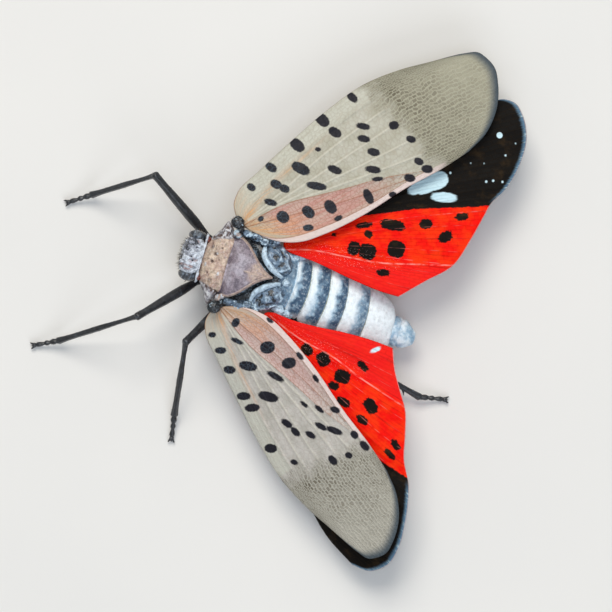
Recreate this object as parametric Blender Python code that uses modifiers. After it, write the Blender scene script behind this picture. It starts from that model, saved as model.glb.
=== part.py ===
"""A spotted lanternfly with its wings half spread, standing on six feet: a still, life-size model.

Metres, +Z up. The head faces -Y and the insect's left side is +X. Shapes are laid out about the front of
the back plate, and the whole is then moved so that the origin lies on the floor under the middle of its box.
"""

import math

import bmesh
import bpy
import numpy as np
from mathutils import Matrix, Vector

MM = 0.001

# The move from the back plate to the origin on the floor
ORIGIN_MOVE = (0.67 * MM, -2.51 * MM, 0.0)

# Clearances between neighbouring parts
GAP = 0.25 * MM
EYE_GAP = 0.12 * MM

# Wings: thickness of the membrane, of a vein's ridge and of the root, and half a ridge's width
MEMBRANE = 0.5 * MM
RIDGE = 0.78 * MM
ROOT = 0.9 * MM
MARGIN = 0.42 * MM
RIDGE_HALF_WIDTH = 0.2 * MM
WING_STACK = 1.15 * MM

# A ridge takes at most this share of the room between two veins. The root's thickness fades out over
# a share of the wing's length, and the rows of faces stand closer together near the root
VEIN_ROOM = 0.3
ROOT_SHARE = 0.12
ROW_SPREAD = 1.25

# How the wings hang: the crest's height, its place across the wing and the roundness of the bend
WING_CREST = 6.9 * MM
CREST_BACK = 3.0 * MM
CREST_ROUND = 1.2 * MM
ROOT_SLOPE = 0.37
TWIST_LENGTH = 8.0 * MM

# Thorax
PLATE = 0.55 * MM
SQUARENESS = 2.8
SIDES = 22


def mm(*values):
    """A point given in millimetres, in metres."""
    return Vector([v * MM for v in values])


def path(*points):
    """Points given in millimetres, in metres."""
    return [mm(*p) for p in points]


# The forewing's outline from the hinge, as places along it and towards its leading edge: its base, its
# outer margin, its trailing edge and its leading edge
FOREWING = (
    path((0.15, -0.87), (-0.05, -0.35), (-0.15, 0.1)),
    path(
        (16.0, -5.2), (17.7, -4.87), (19.45, -3.8), (20.45, -2.55), (20.98, -1.35), (20.9, -0.45),
        (20.7, 0.12), (19.8, 0.7), (18.85, 1.1), (17.7, 1.5),
    ),
    path(
        (0.15, -0.87), (0.78, -1.94), (1.4, -2.7), (2.66, -3.6), (4.3, -4.1), (7.2, -4.57),
        (11.0, -4.78), (13.6, -5.1), (16.0, -5.2),
    ),
    path(
        (-0.15, 0.1), (-0.02, 0.7), (0.3, 1.35), (0.95, 1.85), (3.1, 2.25), (6.5, 2.7), (9.5, 3.0),
        (12.7, 3.0), (15.5, 2.35), (17.7, 1.5),
    ),
)

# The hindwings' outlines, in the same way. The left one is folded a little tighter than the right one
HINDWING_BASE = path((0.1, -0.65), (-0.1, -0.1), (0.2, 0.45))
HINDWING_LEFT = (
    HINDWING_BASE,
    path(
        (5.42, -7.61), (6.92, -7.19), (8.37, -7.02), (9.83, -6.88), (11.48, -6.26), (13.11, -5.55),
        (14.88, -5.22), (16.19, -4.67), (17.45, -3.97), (18.81, -2.99), (19.72, -1.81), (19.74, -0.48),
        (18.91, 0.53),
    ),
    path((0.1, -0.65), (1.0, -1.6), (2.03, -3.01), (3.2, -4.83), (4.52, -6.59), (5.42, -7.61)),
    path((0.2, 0.45), (2.0, 1.25), (5.0, 1.9), (9.0, 2.15), (13.4, 1.95), (16.4, 1.5), (18.91, 0.53)),
)
HINDWING_RIGHT = (
    HINDWING_BASE,
    path(
        (4.84, -7.35), (7.0, -7.45), (9.3, -7.58), (11.4, -6.7), (13.1, -5.8), (13.95, -5.35),
        (15.2, -5.1), (17.1, -4.17), (18.6, -2.8), (19.25, -1.3), (19.3, -0.3), (18.7, 0.45),
        (18.0, 0.7),
    ),
    path((0.1, -0.65), (1.07, -1.9), (2.7, -4.5), (4.1, -6.5), (4.84, -7.35)),
    path((0.2, 0.45), (2.0, 1.25), (5.0, 1.9), (9.0, 2.15), (13.4, 1.72), (16.0, 1.25), (18.0, 0.7)),
)

# How many rows of faces each wing has along its length
FOREWING_ROWS = 16
HINDWING_ROWS = 14

# Veins as (place across the root, place across the margin, share of the length where it gets there)
FOREWING_VEINS = (
    (0.14, 0.03, 0.75), (0.32, 0.12, 0.72), (0.47, 0.33, 1.0), (0.6, 0.52, 1.0), (0.73, 0.69, 1.0),
    (0.85, 0.86, 1.0),
)
HINDWING_VEINS = (
    (0.2, 0.25, 1.0), (0.36, 0.4, 1.0), (0.5, 0.54, 1.0), (0.64, 0.68, 1.0), (0.8, 0.84, 1.0),
)


class Side:
    """One side of the insect: how its pair of wings is held."""

    def __init__(self, name, sign, fore_sweep, fore_width, slope, droop, hind_hinge, hind_sweep, hindwing):
        self.name = name
        self.sign = sign
        self.fore_sweep = math.radians(fore_sweep)
        self.fore_width = fore_width
        self.slope = slope
        self.droop = droop
        self.hind_hinge = hind_hinge
        self.hind_sweep = math.radians(hind_sweep)
        self.hindwing = hindwing


FORE_HINGE = mm(3.2, 0.0)
LEFT = Side("left", 1, 47.7, 0.82, 0.62, 0.05, mm(2.6, 3.4), 36.8, HINDWING_LEFT)
RIGHT = Side("right", -1, 38.7, 1.0, 0.3, 0.1, mm(2.4, 3.4), 41.3, HINDWING_RIGHT)
BOTH = (LEFT, RIGHT)

# Cross-sections as (Y, half width, top, widest height, bottom), in millimetres
PROTHORAX = (
    (-1.8, 1.3, 5.95, 4.9, 3.6), (-1.68, 1.6, 6.15, 4.9, 3.2), (-1.45, 1.92, 6.4, 5.0, 2.95),
    (-1.2, 2.3, 6.55, 5.1, 2.8), (-0.85, 2.95, 6.68, 5.15, 2.7), (-0.6, 2.88, 6.7, 5.15, 2.65),
    (-0.35, 2.4, 6.6, 5.1, 2.7),
)
THORAX = (
    (-0.08, 2.3, 5.95, 4.5, 2.55), (0.25, 2.5, 6.12, 4.45, 2.3), (1.2, 2.6, 6.18, 4.45, 2.1),
    (2.1, 2.4, 6.15, 4.5, 2.0), (2.9, 2.15, 6.0, 4.6, 2.05), (3.6, 1.95, 5.7, 4.6, 2.25),
    (3.95, 1.75, 5.4, 4.6, 2.6),
)
# The abdomen as (Y, half width, half height, height of the middle), in millimetres
ABDOMEN = (
    (4.2, 1.9, 1.45, 4.05), (5.5, 2.25, 1.7, 3.9), (7.0, 2.45, 1.78, 3.65), (9.0, 2.4, 1.62, 3.2),
    (10.6, 2.15, 1.35, 2.85), (12.0, 1.65, 1.0, 2.6),
)
ABDOMEN_FRONT_STEP = 0.35
TERGITE_ENDS = (4.85, 5.95, 7.35, 8.75, 10.45, 12.0)
TERGITE_STEP = 0.11

# The rings of a segment: each one's share of the segment's length and of the step
TERGITE_RINGS = ((0.12, 1.0), (0.5, 0.2), (0.86, 0.0), (1.0, 0.6))

# The bend to the left at the abdomen's end, in millimetres, and how late it sets in
ABDOMEN_BEND = 1.15
ABDOMEN_BEND_POWER = 1.4
TIP_BEND = 0.2
ABDOMEN_SQUARENESS = 2.1
ABDOMEN_TIP = ((12.27, 1.0, 0.72), (12.9, 1.05, 0.8), (13.6, 0.8, 0.62), (14.05, 0.4, 0.3))
ABDOMEN_TIP_HEIGHTS = (2.5, 2.4)
ABDOMEN_TIP_SIDES = 16

# Head, as level sections (height, half width, front, back), in millimetres
HEAD = (
    (2.75, 0.35, -2.75, -2.25), (3.1, 0.62, -2.95, -2.2), (3.8, 0.95, -3.2, -2.15),
    (4.6, 1.25, -3.4, -2.1), (5.3, 1.38, -3.47, -2.08), (5.75, 1.35, -3.42, -2.08),
    (6.0, 1.2, -3.25, -2.12),
)
EYE_CENTRE = mm(1.42, -2.64, 5.1)
EYE_RADII = mm(0.4, 0.62, 0.66)
ANTENNA_ROOT = mm(1.27, -2.62, 4.0)
ANTENNA_BULB = mm(1.5, -2.45, 3.8)
ANTENNA_TIP = mm(1.85, -2.8, 3.45)

# Where the antenna's stalk widens to the bulb and where the bristle leaves it, as shares of each stretch
STALK_SHARES = (0.45, 0.7)
BRISTLE_SHARES = (0.22, 0.35)
ANTENNA_RADII = (0.2 * MM, 0.2 * MM, 0.3 * MM, 0.33 * MM, 0.22 * MM, 0.12 * MM, 0.05 * MM)
ROSTRUM_ROUTE = path(
    (0.0, -2.45, 2.22), (0.0, -2.1, 2.0), (0.0, -1.2, 1.85), (0.0, 0.2, 1.6), (0.0, 2.9, 1.45),
)
ROSTRUM_RADII = (0.3 * MM, 0.32 * MM, 0.28 * MM, 0.25 * MM, 0.15 * MM)
TEGULA_CENTRE = mm(3.1, -0.2, 6.62)
TEGULA_RADII = mm(0.42, 0.46, 0.24)

# The back plate's edge as half widths and places along the body
SCUTELLUM_EDGE = path(
    (2.15, 0.02), (2.2, 0.4), (1.95, 0.9), (1.5, 1.4), (0.95, 1.9), (0.52, 2.4), (0.1, 3.2),
)
SCUTELLUM_GRID = 12

# Ahead of this place the back plate keeps the height that it has there
SCUTELLUM_LEVEL = 0.3 * MM

# Behind the back plate each side has a narrow ridge and a wide lobe: the middle and the radii of each
LOBES = (
    (mm(0.98, 2.88, 6.05), mm(1.15, 0.26, 0.42)),
    (mm(1.38, 3.3, 5.5), mm(1.05, 0.5, 0.54)),
)
LOBE_TURN = math.radians(-48)

# Legs as socket, trochanter, knee, ankle and toe, in millimetres, and the number of tibia spines
LEGS = {
    "leg_front_left": ((1.0, -1.15, 2.95), (1.5, -1.75, 2.25), (5.2, -5.2, 5.2), (8.5, -10.3, 0.85),
                       (9.25, -11.8, 0.3), 0),
    "leg_front_right": ((-1.0, -1.15, 2.95), (-1.4, -1.85, 2.25), (-4.7, -6.75, 5.1),
                        (-2.2, -10.9, 0.85), (-1.3, -12.3, 0.3), 0),
    "leg_mid_left": ((1.55, 0.9, 2.45), (2.0, 0.75, 1.75), (6.0, -1.45, 4.7), (11.3, -0.9, 0.85),
                     (12.9, -0.65, 0.3), 0),
    "leg_mid_right": ((-1.55, 0.9, 2.45), (-2.0, 1.0, 1.75), (-6.0, 1.9, 3.9), (-10.6, 5.6, 0.85),
                      (-12.0, 6.6, 0.3), 0),
    "leg_hind_left": ((1.3, 2.85, 2.4), (1.85, 3.2, 1.7), (3.6, 9.0, 2.8), (5.25, 15.6, 0.8),
                      (4.95, 17.3, 0.3), 4),
    "leg_hind_right": ((-1.3, 2.85, 2.4), (-1.85, 3.2, 1.7), (-5.6, 7.2, 3.3), (-6.6, 13.4, 0.8),
                       (-6.9, 15.0, 0.3), 4),
}
COXA_RADIUS = 0.44 * MM
TROCHANTER_RADIUS = 0.3 * MM
FEMUR_RADIUS = 0.37 * MM
FEMUR_END_RADIUS = 0.355 * MM
KNEE_RADIUS = 0.3 * MM
KNEE_TOP_RADIUS = 0.315 * MM
TIBIA_RADIUS = 0.25 * MM
TIBIA_END_RADIUS = 0.28 * MM
TARSUS_RADIUS = 0.25 * MM
TARSUS_START_RADIUS = 0.27 * MM
KNEE_BEND = 0.55 * MM

# Where the coxa narrows on its way to the trochanter, and where the femur starts to swell, is thick
# and starts to narrow on its way to the knee
COXA_SHARE = 0.6
FEMUR_SHARES = (0.12, 0.35, 0.7)

# Feet: the pad's foot is a little smaller than its top, and the claws leave it at a share of its height
PAD_RADIUS = 0.3 * MM
PAD_FOOT_RADIUS = 0.255 * MM
PAD_HEIGHT = 0.4 * MM
CLAW_START = 0.6
CLAW_DROP = 0.4
CLAW_LENGTH = 0.55 * MM
CLAW_RADIUS = 0.15 * MM
CLAW_SPREAD = math.radians(28)
POINT_RADIUS = 0.03 * MM

# The hind legs' spines: their size, how far they lean towards the foot, and the stretch that they stand on
SPINE_LENGTH = 0.55 * MM
SPINE_RADIUS = 0.17 * MM
SPINE_LEAN = 0.8
SPINE_START = 0.35
SPINE_RUN = 0.6


def clear_scene():
    """Removes what the startup scene holds."""
    for obj in list(bpy.data.objects):
        bpy.data.objects.remove(obj)


def material(name, colour, roughness, metallic=0.0):
    """A plain Principled material."""
    made = bpy.data.materials.new(name)
    made.use_nodes = True
    shader = made.node_tree.nodes["Principled BSDF"]
    shader.inputs["Base Color"].default_value = (*colour, 1.0)
    shader.inputs["Roughness"].default_value = roughness
    shader.inputs["Metallic"].default_value = metallic
    made.diffuse_color = (*colour, 1.0)
    return made


def add_object(name, mesh, collection):
    """Links a new object that shows this mesh."""
    obj = bpy.data.objects.new(name, mesh)
    collection.objects.link(obj)
    return obj


def mesh_of(bm, name):
    """A mesh from a bmesh, which is then freed."""
    mesh = bpy.data.meshes.new(name)
    bm.to_mesh(mesh)
    bm.free()
    return mesh


def curve_through(points):
    """A smooth curve through the points, as a function of the share of its length."""
    knots = np.array([tuple(p) for p in points])
    steps = np.linalg.norm(np.diff(knots, axis=0), axis=1)
    at = np.concatenate([[0.0], np.cumsum(steps)]) / steps.sum()
    slopes = np.gradient(knots, at, axis=0)

    def point(share):
        i = min(int(np.searchsorted(at, share, side="right")) - 1, len(at) - 2)
        i = max(i, 0)
        width = at[i + 1] - at[i]
        x = (share - at[i]) / width
        a = (1 + 2 * x) * (1 - x) ** 2
        b = x * (1 - x) ** 2 * width
        c = x * x * (3 - 2 * x)
        d = x * x * (x - 1) * width
        return a * knots[i] + b * slopes[i] + c * knots[i + 1] + d * slopes[i + 1]

    return point


def patch(base, margin, trail, lead):
    """A surface between four edge curves: s runs from base to margin, t from trail to lead."""
    base, margin, trail, lead = (curve_through(edge) for edge in (base, margin, trail, lead))

    def point(s, t):
        along = trail(s) * (1 - t) + lead(s) * t
        across = base(t) * (1 - s) + margin(t) * s
        near = base(0) * (1 - t) + base(1) * t
        far = margin(0) * (1 - t) + margin(1) * t
        return along + across - near * (1 - s) - far * s

    return point


def smooth_step(x):
    """0 below 0, 1 above 1 and smooth between."""
    x = min(max(x, 0.0), 1.0)
    return x * x * (3 - 2 * x)


def forewing_place(side, x, y):
    """How far a plan point, given with X outwards, lies along the forewing and towards its leading edge."""
    dx, dy = x - FORE_HINGE.x, y - FORE_HINGE.y
    c, n = math.cos(side.fore_sweep), math.sin(side.fore_sweep)
    return dx * c + dy * n, dx * n - dy * c


def wing_height(side, x, y):
    """Height of the forewing's middle surface over a plan point, given with X outwards."""
    along, ahead = forewing_place(side, x, y)
    back = CREST_BACK * side.fore_width
    fall = CREST_ROUND * math.log1p(math.exp((ahead + back) / CREST_ROUND))
    root_fall = CREST_ROUND * math.log1p(math.exp((ahead + CREST_BACK) / CREST_ROUND))
    twist = smooth_step(along / TWIST_LENGTH)
    drop = ROOT_SLOPE * root_fall * (1 - twist) + side.slope * fall * twist
    return WING_CREST - side.droop * max(along, 0.0) - drop


def vein_place(vein, s):
    """Where a vein lies across the wing at this share of the length."""
    root, margin, reach = vein
    return root + (margin - root) * smooth_step(s / reach)


def wing_columns(veins, s, width):
    """(place across, is a ridge) for each column of the grid at this share of the length."""
    places = [vein_place(v, s) for v in veins]
    room = min(b - a for a, b in zip([0.0, *places], [*places, 1.0]))
    half = min(RIDGE_HALF_WIDTH / width, VEIN_ROOM * room)
    columns = [(0.0, False)]
    before = 0.0
    for place in places:
        columns.append(((before + place) / 2, False))
        columns += [(place - half, False), (place, True), (place + half, False)]
        before = place
    return [*columns, ((before + 1.0) / 2, False), (1.0, True)]


def wing(name, outline, veins, rows, to_plan, height, collection):
    """A wing: one thin curved sheet with its veins raised on both faces."""
    surface = patch(*outline)
    columns = 4 * len(veins) + 2
    bm = bmesh.new()
    bmesh.ops.create_grid(bm, x_segments=columns, y_segments=rows, size=0.5)
    weights = {}
    for vert in bm.verts:
        i, j = round((vert.co.x + 0.5) * columns), round((vert.co.y + 0.5) * rows)
        s = (j / rows) ** ROW_SPREAD
        width = np.linalg.norm(surface(s, 1.0) - surface(s, 0.0))
        t, ridge = wing_columns(veins, s, width)[i]
        x, y = to_plan(*surface(s, t))
        vert.co = (x, y, height(x, y))
        thick = RIDGE if ridge else MEMBRANE
        if j == rows:
            thick = MARGIN
        thick = ROOT + (thick - ROOT) * smooth_step(s / ROOT_SHARE)
        weights[vert] = thick / ROOT
    bmesh.ops.triangulate(bm, faces=bm.faces)
    bm.verts.index_update()
    shares = {vert.index: weight for vert, weight in weights.items()}
    obj = add_object(name, mesh_of(bm, name), collection)
    thickness = obj.vertex_groups.new(name="thickness")
    for index, weight in shares.items():
        thickness.add([index], weight, "REPLACE")
    shell = obj.modifiers.new("shell", "SOLIDIFY")
    shell.thickness = ROOT
    shell.offset = 0.0
    shell.vertex_group = thickness.name
    shell.thickness_vertex_group = 0.0
    return obj


def forewing(side, collection):
    """The spotted forewing, which lies over the hindwing."""
    c, n = math.cos(side.fore_sweep), math.sin(side.fore_sweep)

    def to_plan(along, ahead):
        ahead *= side.fore_width
        return FORE_HINGE.x + along * c + ahead * n, FORE_HINGE.y + along * n - ahead * c

    obj = wing("forewing_" + side.name, FOREWING, FOREWING_VEINS, FOREWING_ROWS, to_plan,
               lambda x, y: wing_height(side, x, y), collection)
    return place_on_side(obj, side)


def hindwing(side, collection):
    """The red hindwing, a stack's height below the forewing's surface."""
    c, n = math.cos(side.hind_sweep), math.sin(side.hind_sweep)

    def to_plan(along, ahead):
        hinge = side.hind_hinge
        return hinge.x + along * c + ahead * n, hinge.y + along * n - ahead * c

    obj = wing("hindwing_" + side.name, side.hindwing, HINDWING_VEINS, HINDWING_ROWS, to_plan,
               lambda x, y: wing_height(side, x, y) - WING_STACK, collection)
    return place_on_side(obj, side)


def place_on_side(obj, side):
    """Turns a mesh made for the left side into one for this side, with its faces pointing out."""
    if side.sign < 0:
        obj.data.transform(Matrix.Scale(-1, 4, Vector((1, 0, 0))))
        obj.data.flip_normals()
    return obj


def section(x, y, half_width, top, middle, bottom, sides=SIDES, power=SQUARENESS):
    """An upright oval of points across the body, squarer than an ellipse."""
    ring = []
    for k in range(sides):
        angle = 2 * math.pi * k / sides
        c, n = math.cos(angle), math.sin(angle)
        reach = (abs(c) ** power + abs(n) ** power) ** (-1 / power)
        rise = (top - middle) if n > 0 else (middle - bottom)
        ring.append(Vector((x + half_width * reach * c, y, middle + rise * reach * n)))
    return ring


def loft(name, rings, collection):
    """One closed body through rings with the same number of points."""
    bm = bmesh.new()
    loops = [[bm.verts.new(p) for p in ring] for ring in rings]
    count = len(loops[0])
    for a, b in zip(loops, loops[1:]):
        for k in range(count):
            n = (k + 1) % count
            bm.faces.new((a[k], a[n], b[n], b[k]))
    bm.faces.new(loops[0])
    bm.faces.new(loops[-1])
    bmesh.ops.recalc_face_normals(bm, faces=bm.faces)
    return add_object(name, mesh_of(bm, name), collection)


def body_rings(sections):
    """Rings from rows of (Y, half width, top, widest height, bottom) in millimetres."""
    return [section(0.0, y * MM, w * MM, top * MM, mid * MM, low * MM) for y, w, top, mid, low in sections]


def thorax_top(x, y):
    """Height of the thorax's upper surface over a plan point."""
    rows = np.array(THORAX) * MM
    width, top, middle = (float(np.interp(y, rows[:, 0], rows[:, k])) for k in (1, 2, 3))
    inside = max(1 - abs(x / width) ** SQUARENESS, 0.0)
    return middle + (top - middle) * inside ** (1 / SQUARENESS)


def ellipsoid(name, centre, radii, collection, turn=0.0, segments=16, rings=10):
    """A closed ellipsoid, turned about the vertical."""
    bm = bmesh.new()
    bmesh.ops.create_uvsphere(bm, u_segments=segments, v_segments=rings, radius=1.0)
    matrix = Matrix.Translation(centre) @ Matrix.Rotation(turn, 4, "Z") @ Matrix.Diagonal((*radii, 1.0))
    bmesh.ops.transform(bm, matrix=matrix, verts=bm.verts)
    return add_object(name, mesh_of(bm, name), collection)


def cone(name, start, end, start_radius, end_radius, collection, sides=8):
    """A closed cone or cylinder from start to end."""
    bm = bmesh.new()
    axis = Vector(end) - Vector(start)
    bmesh.ops.create_cone(bm, cap_ends=True, segments=sides, radius1=start_radius, radius2=end_radius,
                          depth=axis.length)
    turn = axis.to_track_quat("Z", "Y").to_matrix().to_4x4()
    matrix = Matrix.Translation((Vector(start) + Vector(end)) / 2) @ turn
    bmesh.ops.transform(bm, matrix=matrix, verts=bm.verts)
    return add_object(name, mesh_of(bm, name), collection)


def tube(name, points, radii, collection, resolution=2):
    """A closed tube along the points, with a radius at each, as a mesh."""
    curve = bpy.data.curves.new(name, "CURVE")
    curve.dimensions = "3D"
    curve.bevel_depth = 1.0
    curve.bevel_resolution = resolution
    curve.use_fill_caps = True
    spline = curve.splines.new("POLY")
    spline.points.add(len(points) - 1)
    for knot, point, radius in zip(spline.points, points, radii):
        knot.co = (*point, 1.0)
        knot.radius = radius
    guide = add_object(name + "_line", curve, collection)
    bpy.context.view_layer.update()
    graph = bpy.context.evaluated_depsgraph_get()
    mesh = bpy.data.meshes.new_from_object(guide.evaluated_get(graph))
    bpy.data.objects.remove(guide)
    bm = bmesh.new()
    bm.from_mesh(mesh)
    bmesh.ops.remove_doubles(bm, verts=bm.verts, dist=1e-3 * MM)
    bmesh.ops.recalc_face_normals(bm, faces=bm.faces)
    bm.to_mesh(mesh)
    bm.free()
    return add_object(name, mesh, collection)


def largest_surface(mesh):
    """Leaves only the mesh's largest closed surface."""
    bm = bmesh.new()
    bm.from_mesh(mesh)
    left, surfaces = set(bm.verts), []
    while left:
        found, todo = set(), [left.pop()]
        while todo:
            vert = todo.pop()
            found.add(vert)
            for edge in vert.link_edges:
                other = edge.other_vert(vert)
                if other in left:
                    left.remove(other)
                    todo.append(other)
        surfaces.append(found)
    surfaces.sort(key=lambda verts: len(verts))
    for verts in surfaces[:-1]:
        bmesh.ops.delete(bm, geom=list(verts), context="VERTS")
    bm.to_mesh(mesh)
    bm.free()


def join(obj, others, operation, solver="EXACT"):
    """Unites obj with the other pieces, or cuts them from it, and removes them."""
    group = bpy.data.collections.new(obj.name + "_pieces")
    bpy.context.scene.collection.children.link(group)
    for other in others:
        for user in list(other.users_collection):
            user.objects.unlink(other)
        group.objects.link(other)
    modifier = obj.modifiers.new("pieces", "BOOLEAN")
    modifier.operation = operation
    modifier.operand_type = "COLLECTION"
    modifier.collection = group
    modifier.solver = solver
    bpy.context.view_layer.update()
    graph = bpy.context.evaluated_depsgraph_get()
    mesh = bpy.data.meshes.new_from_object(obj.evaluated_get(graph))
    obj.modifiers.clear()
    obj.data = mesh
    for other in others:
        bpy.data.objects.remove(other)
    bpy.data.collections.remove(group)
    largest_surface(mesh)
    return obj


def leg_points(route):
    """Points and radii of a leg, from the socket to the toe, with its knee and ankle rounded."""
    socket, trochanter, knee, ankle, toe = route
    thigh = (knee - trochanter).normalized() * KNEE_BEND
    shin = (ankle - knee).normalized() * KNEE_BEND
    foot = (toe - ankle).normalized() * KNEE_BEND
    swell, thick, narrow = FEMUR_SHARES
    stations = [
        (socket, COXA_RADIUS),
        (socket.lerp(trochanter, COXA_SHARE), COXA_RADIUS),
        (trochanter, TROCHANTER_RADIUS),
        (trochanter.lerp(knee, swell), TROCHANTER_RADIUS),
        (trochanter.lerp(knee, thick), FEMUR_RADIUS),
        (trochanter.lerp(knee, narrow), FEMUR_END_RADIUS),
        (knee - thigh, KNEE_RADIUS),
        (knee + (shin - thigh) / 2, KNEE_TOP_RADIUS),
        (knee + shin, TIBIA_RADIUS),
        (knee.lerp(ankle, 0.5), TIBIA_RADIUS),
        (ankle - shin, TIBIA_END_RADIUS),
        (ankle + (foot - shin) / 2, TARSUS_RADIUS),
        (ankle + foot, TARSUS_START_RADIUS),
        (toe, TARSUS_RADIUS),
    ]
    return [s[0] for s in stations], [s[1] for s in stations]


def foot_pieces(name, ankle, toe, collection):
    """The flat pad that stands on the floor and the two claws ahead of it."""
    ahead = Vector((toe.x - ankle.x, toe.y - ankle.y, 0.0)).normalized()
    on_floor = Vector((toe.x, toe.y, 0.0))
    up = Vector((0, 0, PAD_HEIGHT))
    pad = cone(name + "_pad", on_floor, on_floor + up, PAD_FOOT_RADIUS, PAD_RADIUS, collection, sides=10)
    pieces = [pad]
    start = on_floor + up * CLAW_START
    for turn in (-CLAW_SPREAD, CLAW_SPREAD):
        way = Matrix.Rotation(turn, 3, "Z") @ ahead
        end = start + way * CLAW_LENGTH - up * CLAW_DROP
        pieces.append(cone(name + "_claw", start, end, CLAW_RADIUS, POINT_RADIUS, collection, sides=6))
    return pieces


def spine_pieces(name, knee, ankle, count, collection):
    """The spines along the outer side of a hind tibia, each rooted in its middle."""
    shin = (ankle - knee).normalized()
    out = shin.cross(Vector((0, 0, 1))).normalized() * (1 if ankle.x > 0 else -1)
    pieces = []
    for k in range(count):
        root = knee.lerp(ankle, SPINE_START + SPINE_RUN * k / count)
        way = (out + shin * SPINE_LEAN).normalized()
        pieces.append(cone(name + "_spine", root, root + way * SPINE_LENGTH, SPINE_RADIUS, POINT_RADIUS,
                           collection, sides=6))
    return pieces


def leg(name, places, collection):
    """One leg from its coxa to its claws, as one closed body."""
    *route, spines = places
    route = path(*route)
    points, radii = leg_points(route)
    shank = tube(name, points, radii, collection)
    pieces = foot_pieces(name, route[3], route[4], collection)
    pieces += spine_pieces(name, route[2], route[3], spines, collection)
    return join(shank, pieces, "UNION", "MANIFOLD")


def socket_cutter(name, collection):
    """A cylinder that leaves room for a leg's coxa in the body."""
    socket, trochanter = path(*LEGS[name][:2])
    way = (trochanter - socket).normalized()
    reach = COXA_RADIUS + GAP
    return cone(name + "_socket", socket - way * GAP, socket + way * 3 * reach, reach, reach, collection,
                sides=14)


def prothorax(collection):
    """The collar behind the head, with the front pair of leg sockets."""
    obj = loft("prothorax", body_rings(PROTHORAX), collection)
    cutters = [socket_cutter(name, collection) for name in ("leg_front_left", "leg_front_right")]
    return join(obj, cutters, "DIFFERENCE")


def thorax(collection):
    """The winged part of the body, with raised lobes behind the back plate and four leg sockets."""
    obj = loft("thorax", body_rings(THORAX), collection)
    lobes = []
    for sign in (1, -1):
        for centre, radii in LOBES:
            place = Vector((sign * centre.x, centre.y, centre.z))
            lobes.append(ellipsoid("lobe", place, radii, collection, sign * LOBE_TURN, segments=14, rings=8))
    join(obj, lobes, "UNION")
    cutters = [socket_cutter(name, collection) for name in LEGS if "front" not in name]
    return join(obj, cutters, "DIFFERENCE")


def scutellum(collection):
    """The triangular plate on the back, domed over the thorax."""
    edge = curve_through(SCUTELLUM_EDGE)
    bm = bmesh.new()
    bmesh.ops.create_grid(bm, x_segments=SCUTELLUM_GRID, y_segments=SCUTELLUM_GRID, size=0.5)
    for vert in bm.verts:
        across, along = vert.co.x * 2, vert.co.y + 0.5
        half, y = edge(along)
        x = across * half
        vert.co = (x, y, thorax_top(x, max(y, SCUTELLUM_LEVEL)) + GAP + PLATE / 2)
    bmesh.ops.triangulate(bm, faces=bm.faces)
    obj = add_object("scutellum", mesh_of(bm, "scutellum"), collection)
    shell = obj.modifiers.new("shell", "SOLIDIFY")
    shell.thickness = PLATE
    shell.offset = 0.0
    return obj


def abdomen_at(y):
    """(middle X, half width, half height, height of the middle) of the abdomen at Y, in millimetres."""
    rows = np.array(ABDOMEN)
    curve = curve_through([Vector((w, h, z)) for _, w, h, z in ABDOMEN])
    steps = np.linalg.norm(np.diff(rows[:, 1:], axis=0), axis=1)
    at = np.concatenate([[0.0], np.cumsum(steps)]) / steps.sum()
    width, height, middle = curve(float(np.interp(y, rows[:, 0], at)))
    share = max(y - rows[0, 0], 0.0) / (rows[-1, 0] - rows[0, 0])
    return ABDOMEN_BEND * share**ABDOMEN_BEND_POWER, width, height, middle


def abdomen_ring(y, shrink):
    """A ring round the abdomen at Y millimetres, drawn in by so many millimetres."""
    x, width, height, middle = abdomen_at(y)
    width, height = width - shrink, height - shrink
    return section(x * MM, y * MM, width * MM, (middle + height) * MM, middle * MM, (middle - height) * MM,
                   power=ABDOMEN_SQUARENESS)


def abdomen(collection):
    """The abdomen, each segment flaring a little over the front of the next."""
    start = ABDOMEN[0][0]
    rings = [abdomen_ring(start, ABDOMEN_FRONT_STEP)]
    for end in TERGITE_ENDS:
        for share, step in TERGITE_RINGS:
            rings.append(abdomen_ring(start + (end - start) * share, TERGITE_STEP * step))
        start = end
    return loft("abdomen", rings, collection)


def abdomen_tip(collection):
    """The small last segments, bent a little to the left as the abdomen is."""
    rings = []
    first, last = ABDOMEN_TIP[0][0], ABDOMEN_TIP[-1][0]
    for y, width, height in ABDOMEN_TIP:
        share = (y - first) / (last - first)
        middle = ABDOMEN_TIP_HEIGHTS[0] + (ABDOMEN_TIP_HEIGHTS[1] - ABDOMEN_TIP_HEIGHTS[0]) * share
        x = ABDOMEN_BEND + TIP_BEND * share
        rings.append(section(x * MM, y * MM, width * MM, (middle + height) * MM, middle * MM,
                             (middle - height) * MM, ABDOMEN_TIP_SIDES, ABDOMEN_SQUARENESS))
    return loft("abdomen_tip", rings, collection)


def head(collection):
    """The head, with a recess for each eye and for each antenna."""
    rings = []
    for height, half_width, front, back in HEAD:
        ring = []
        for k in range(SIDES):
            angle = 2 * math.pi * k / SIDES
            c, n = math.cos(angle), math.sin(angle)
            reach = (abs(c) ** SQUARENESS + abs(n) ** SQUARENESS) ** (-1 / SQUARENESS)
            middle, depth = (front + back) / 2, (back - front) / 2
            ring.append(mm(half_width * reach * c, middle + depth * reach * n, height))
        rings.append(ring)
    obj = loft("head", rings, collection)
    cutters = []
    for sign in (1, -1):
        room = Vector([r + EYE_GAP for r in EYE_RADII])
        centre = Vector((sign * EYE_CENTRE.x, EYE_CENTRE.y, EYE_CENTRE.z))
        cutters.append(ellipsoid("eye_room", centre, room, collection))
    join(obj, cutters, "DIFFERENCE")
    return obj


def eye(side, collection):
    """An oval eye at the side of the head."""
    centre = Vector((side.sign * EYE_CENTRE.x, EYE_CENTRE.y, EYE_CENTRE.z))
    return ellipsoid("eye_" + side.name, centre, EYE_RADII, collection)


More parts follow.
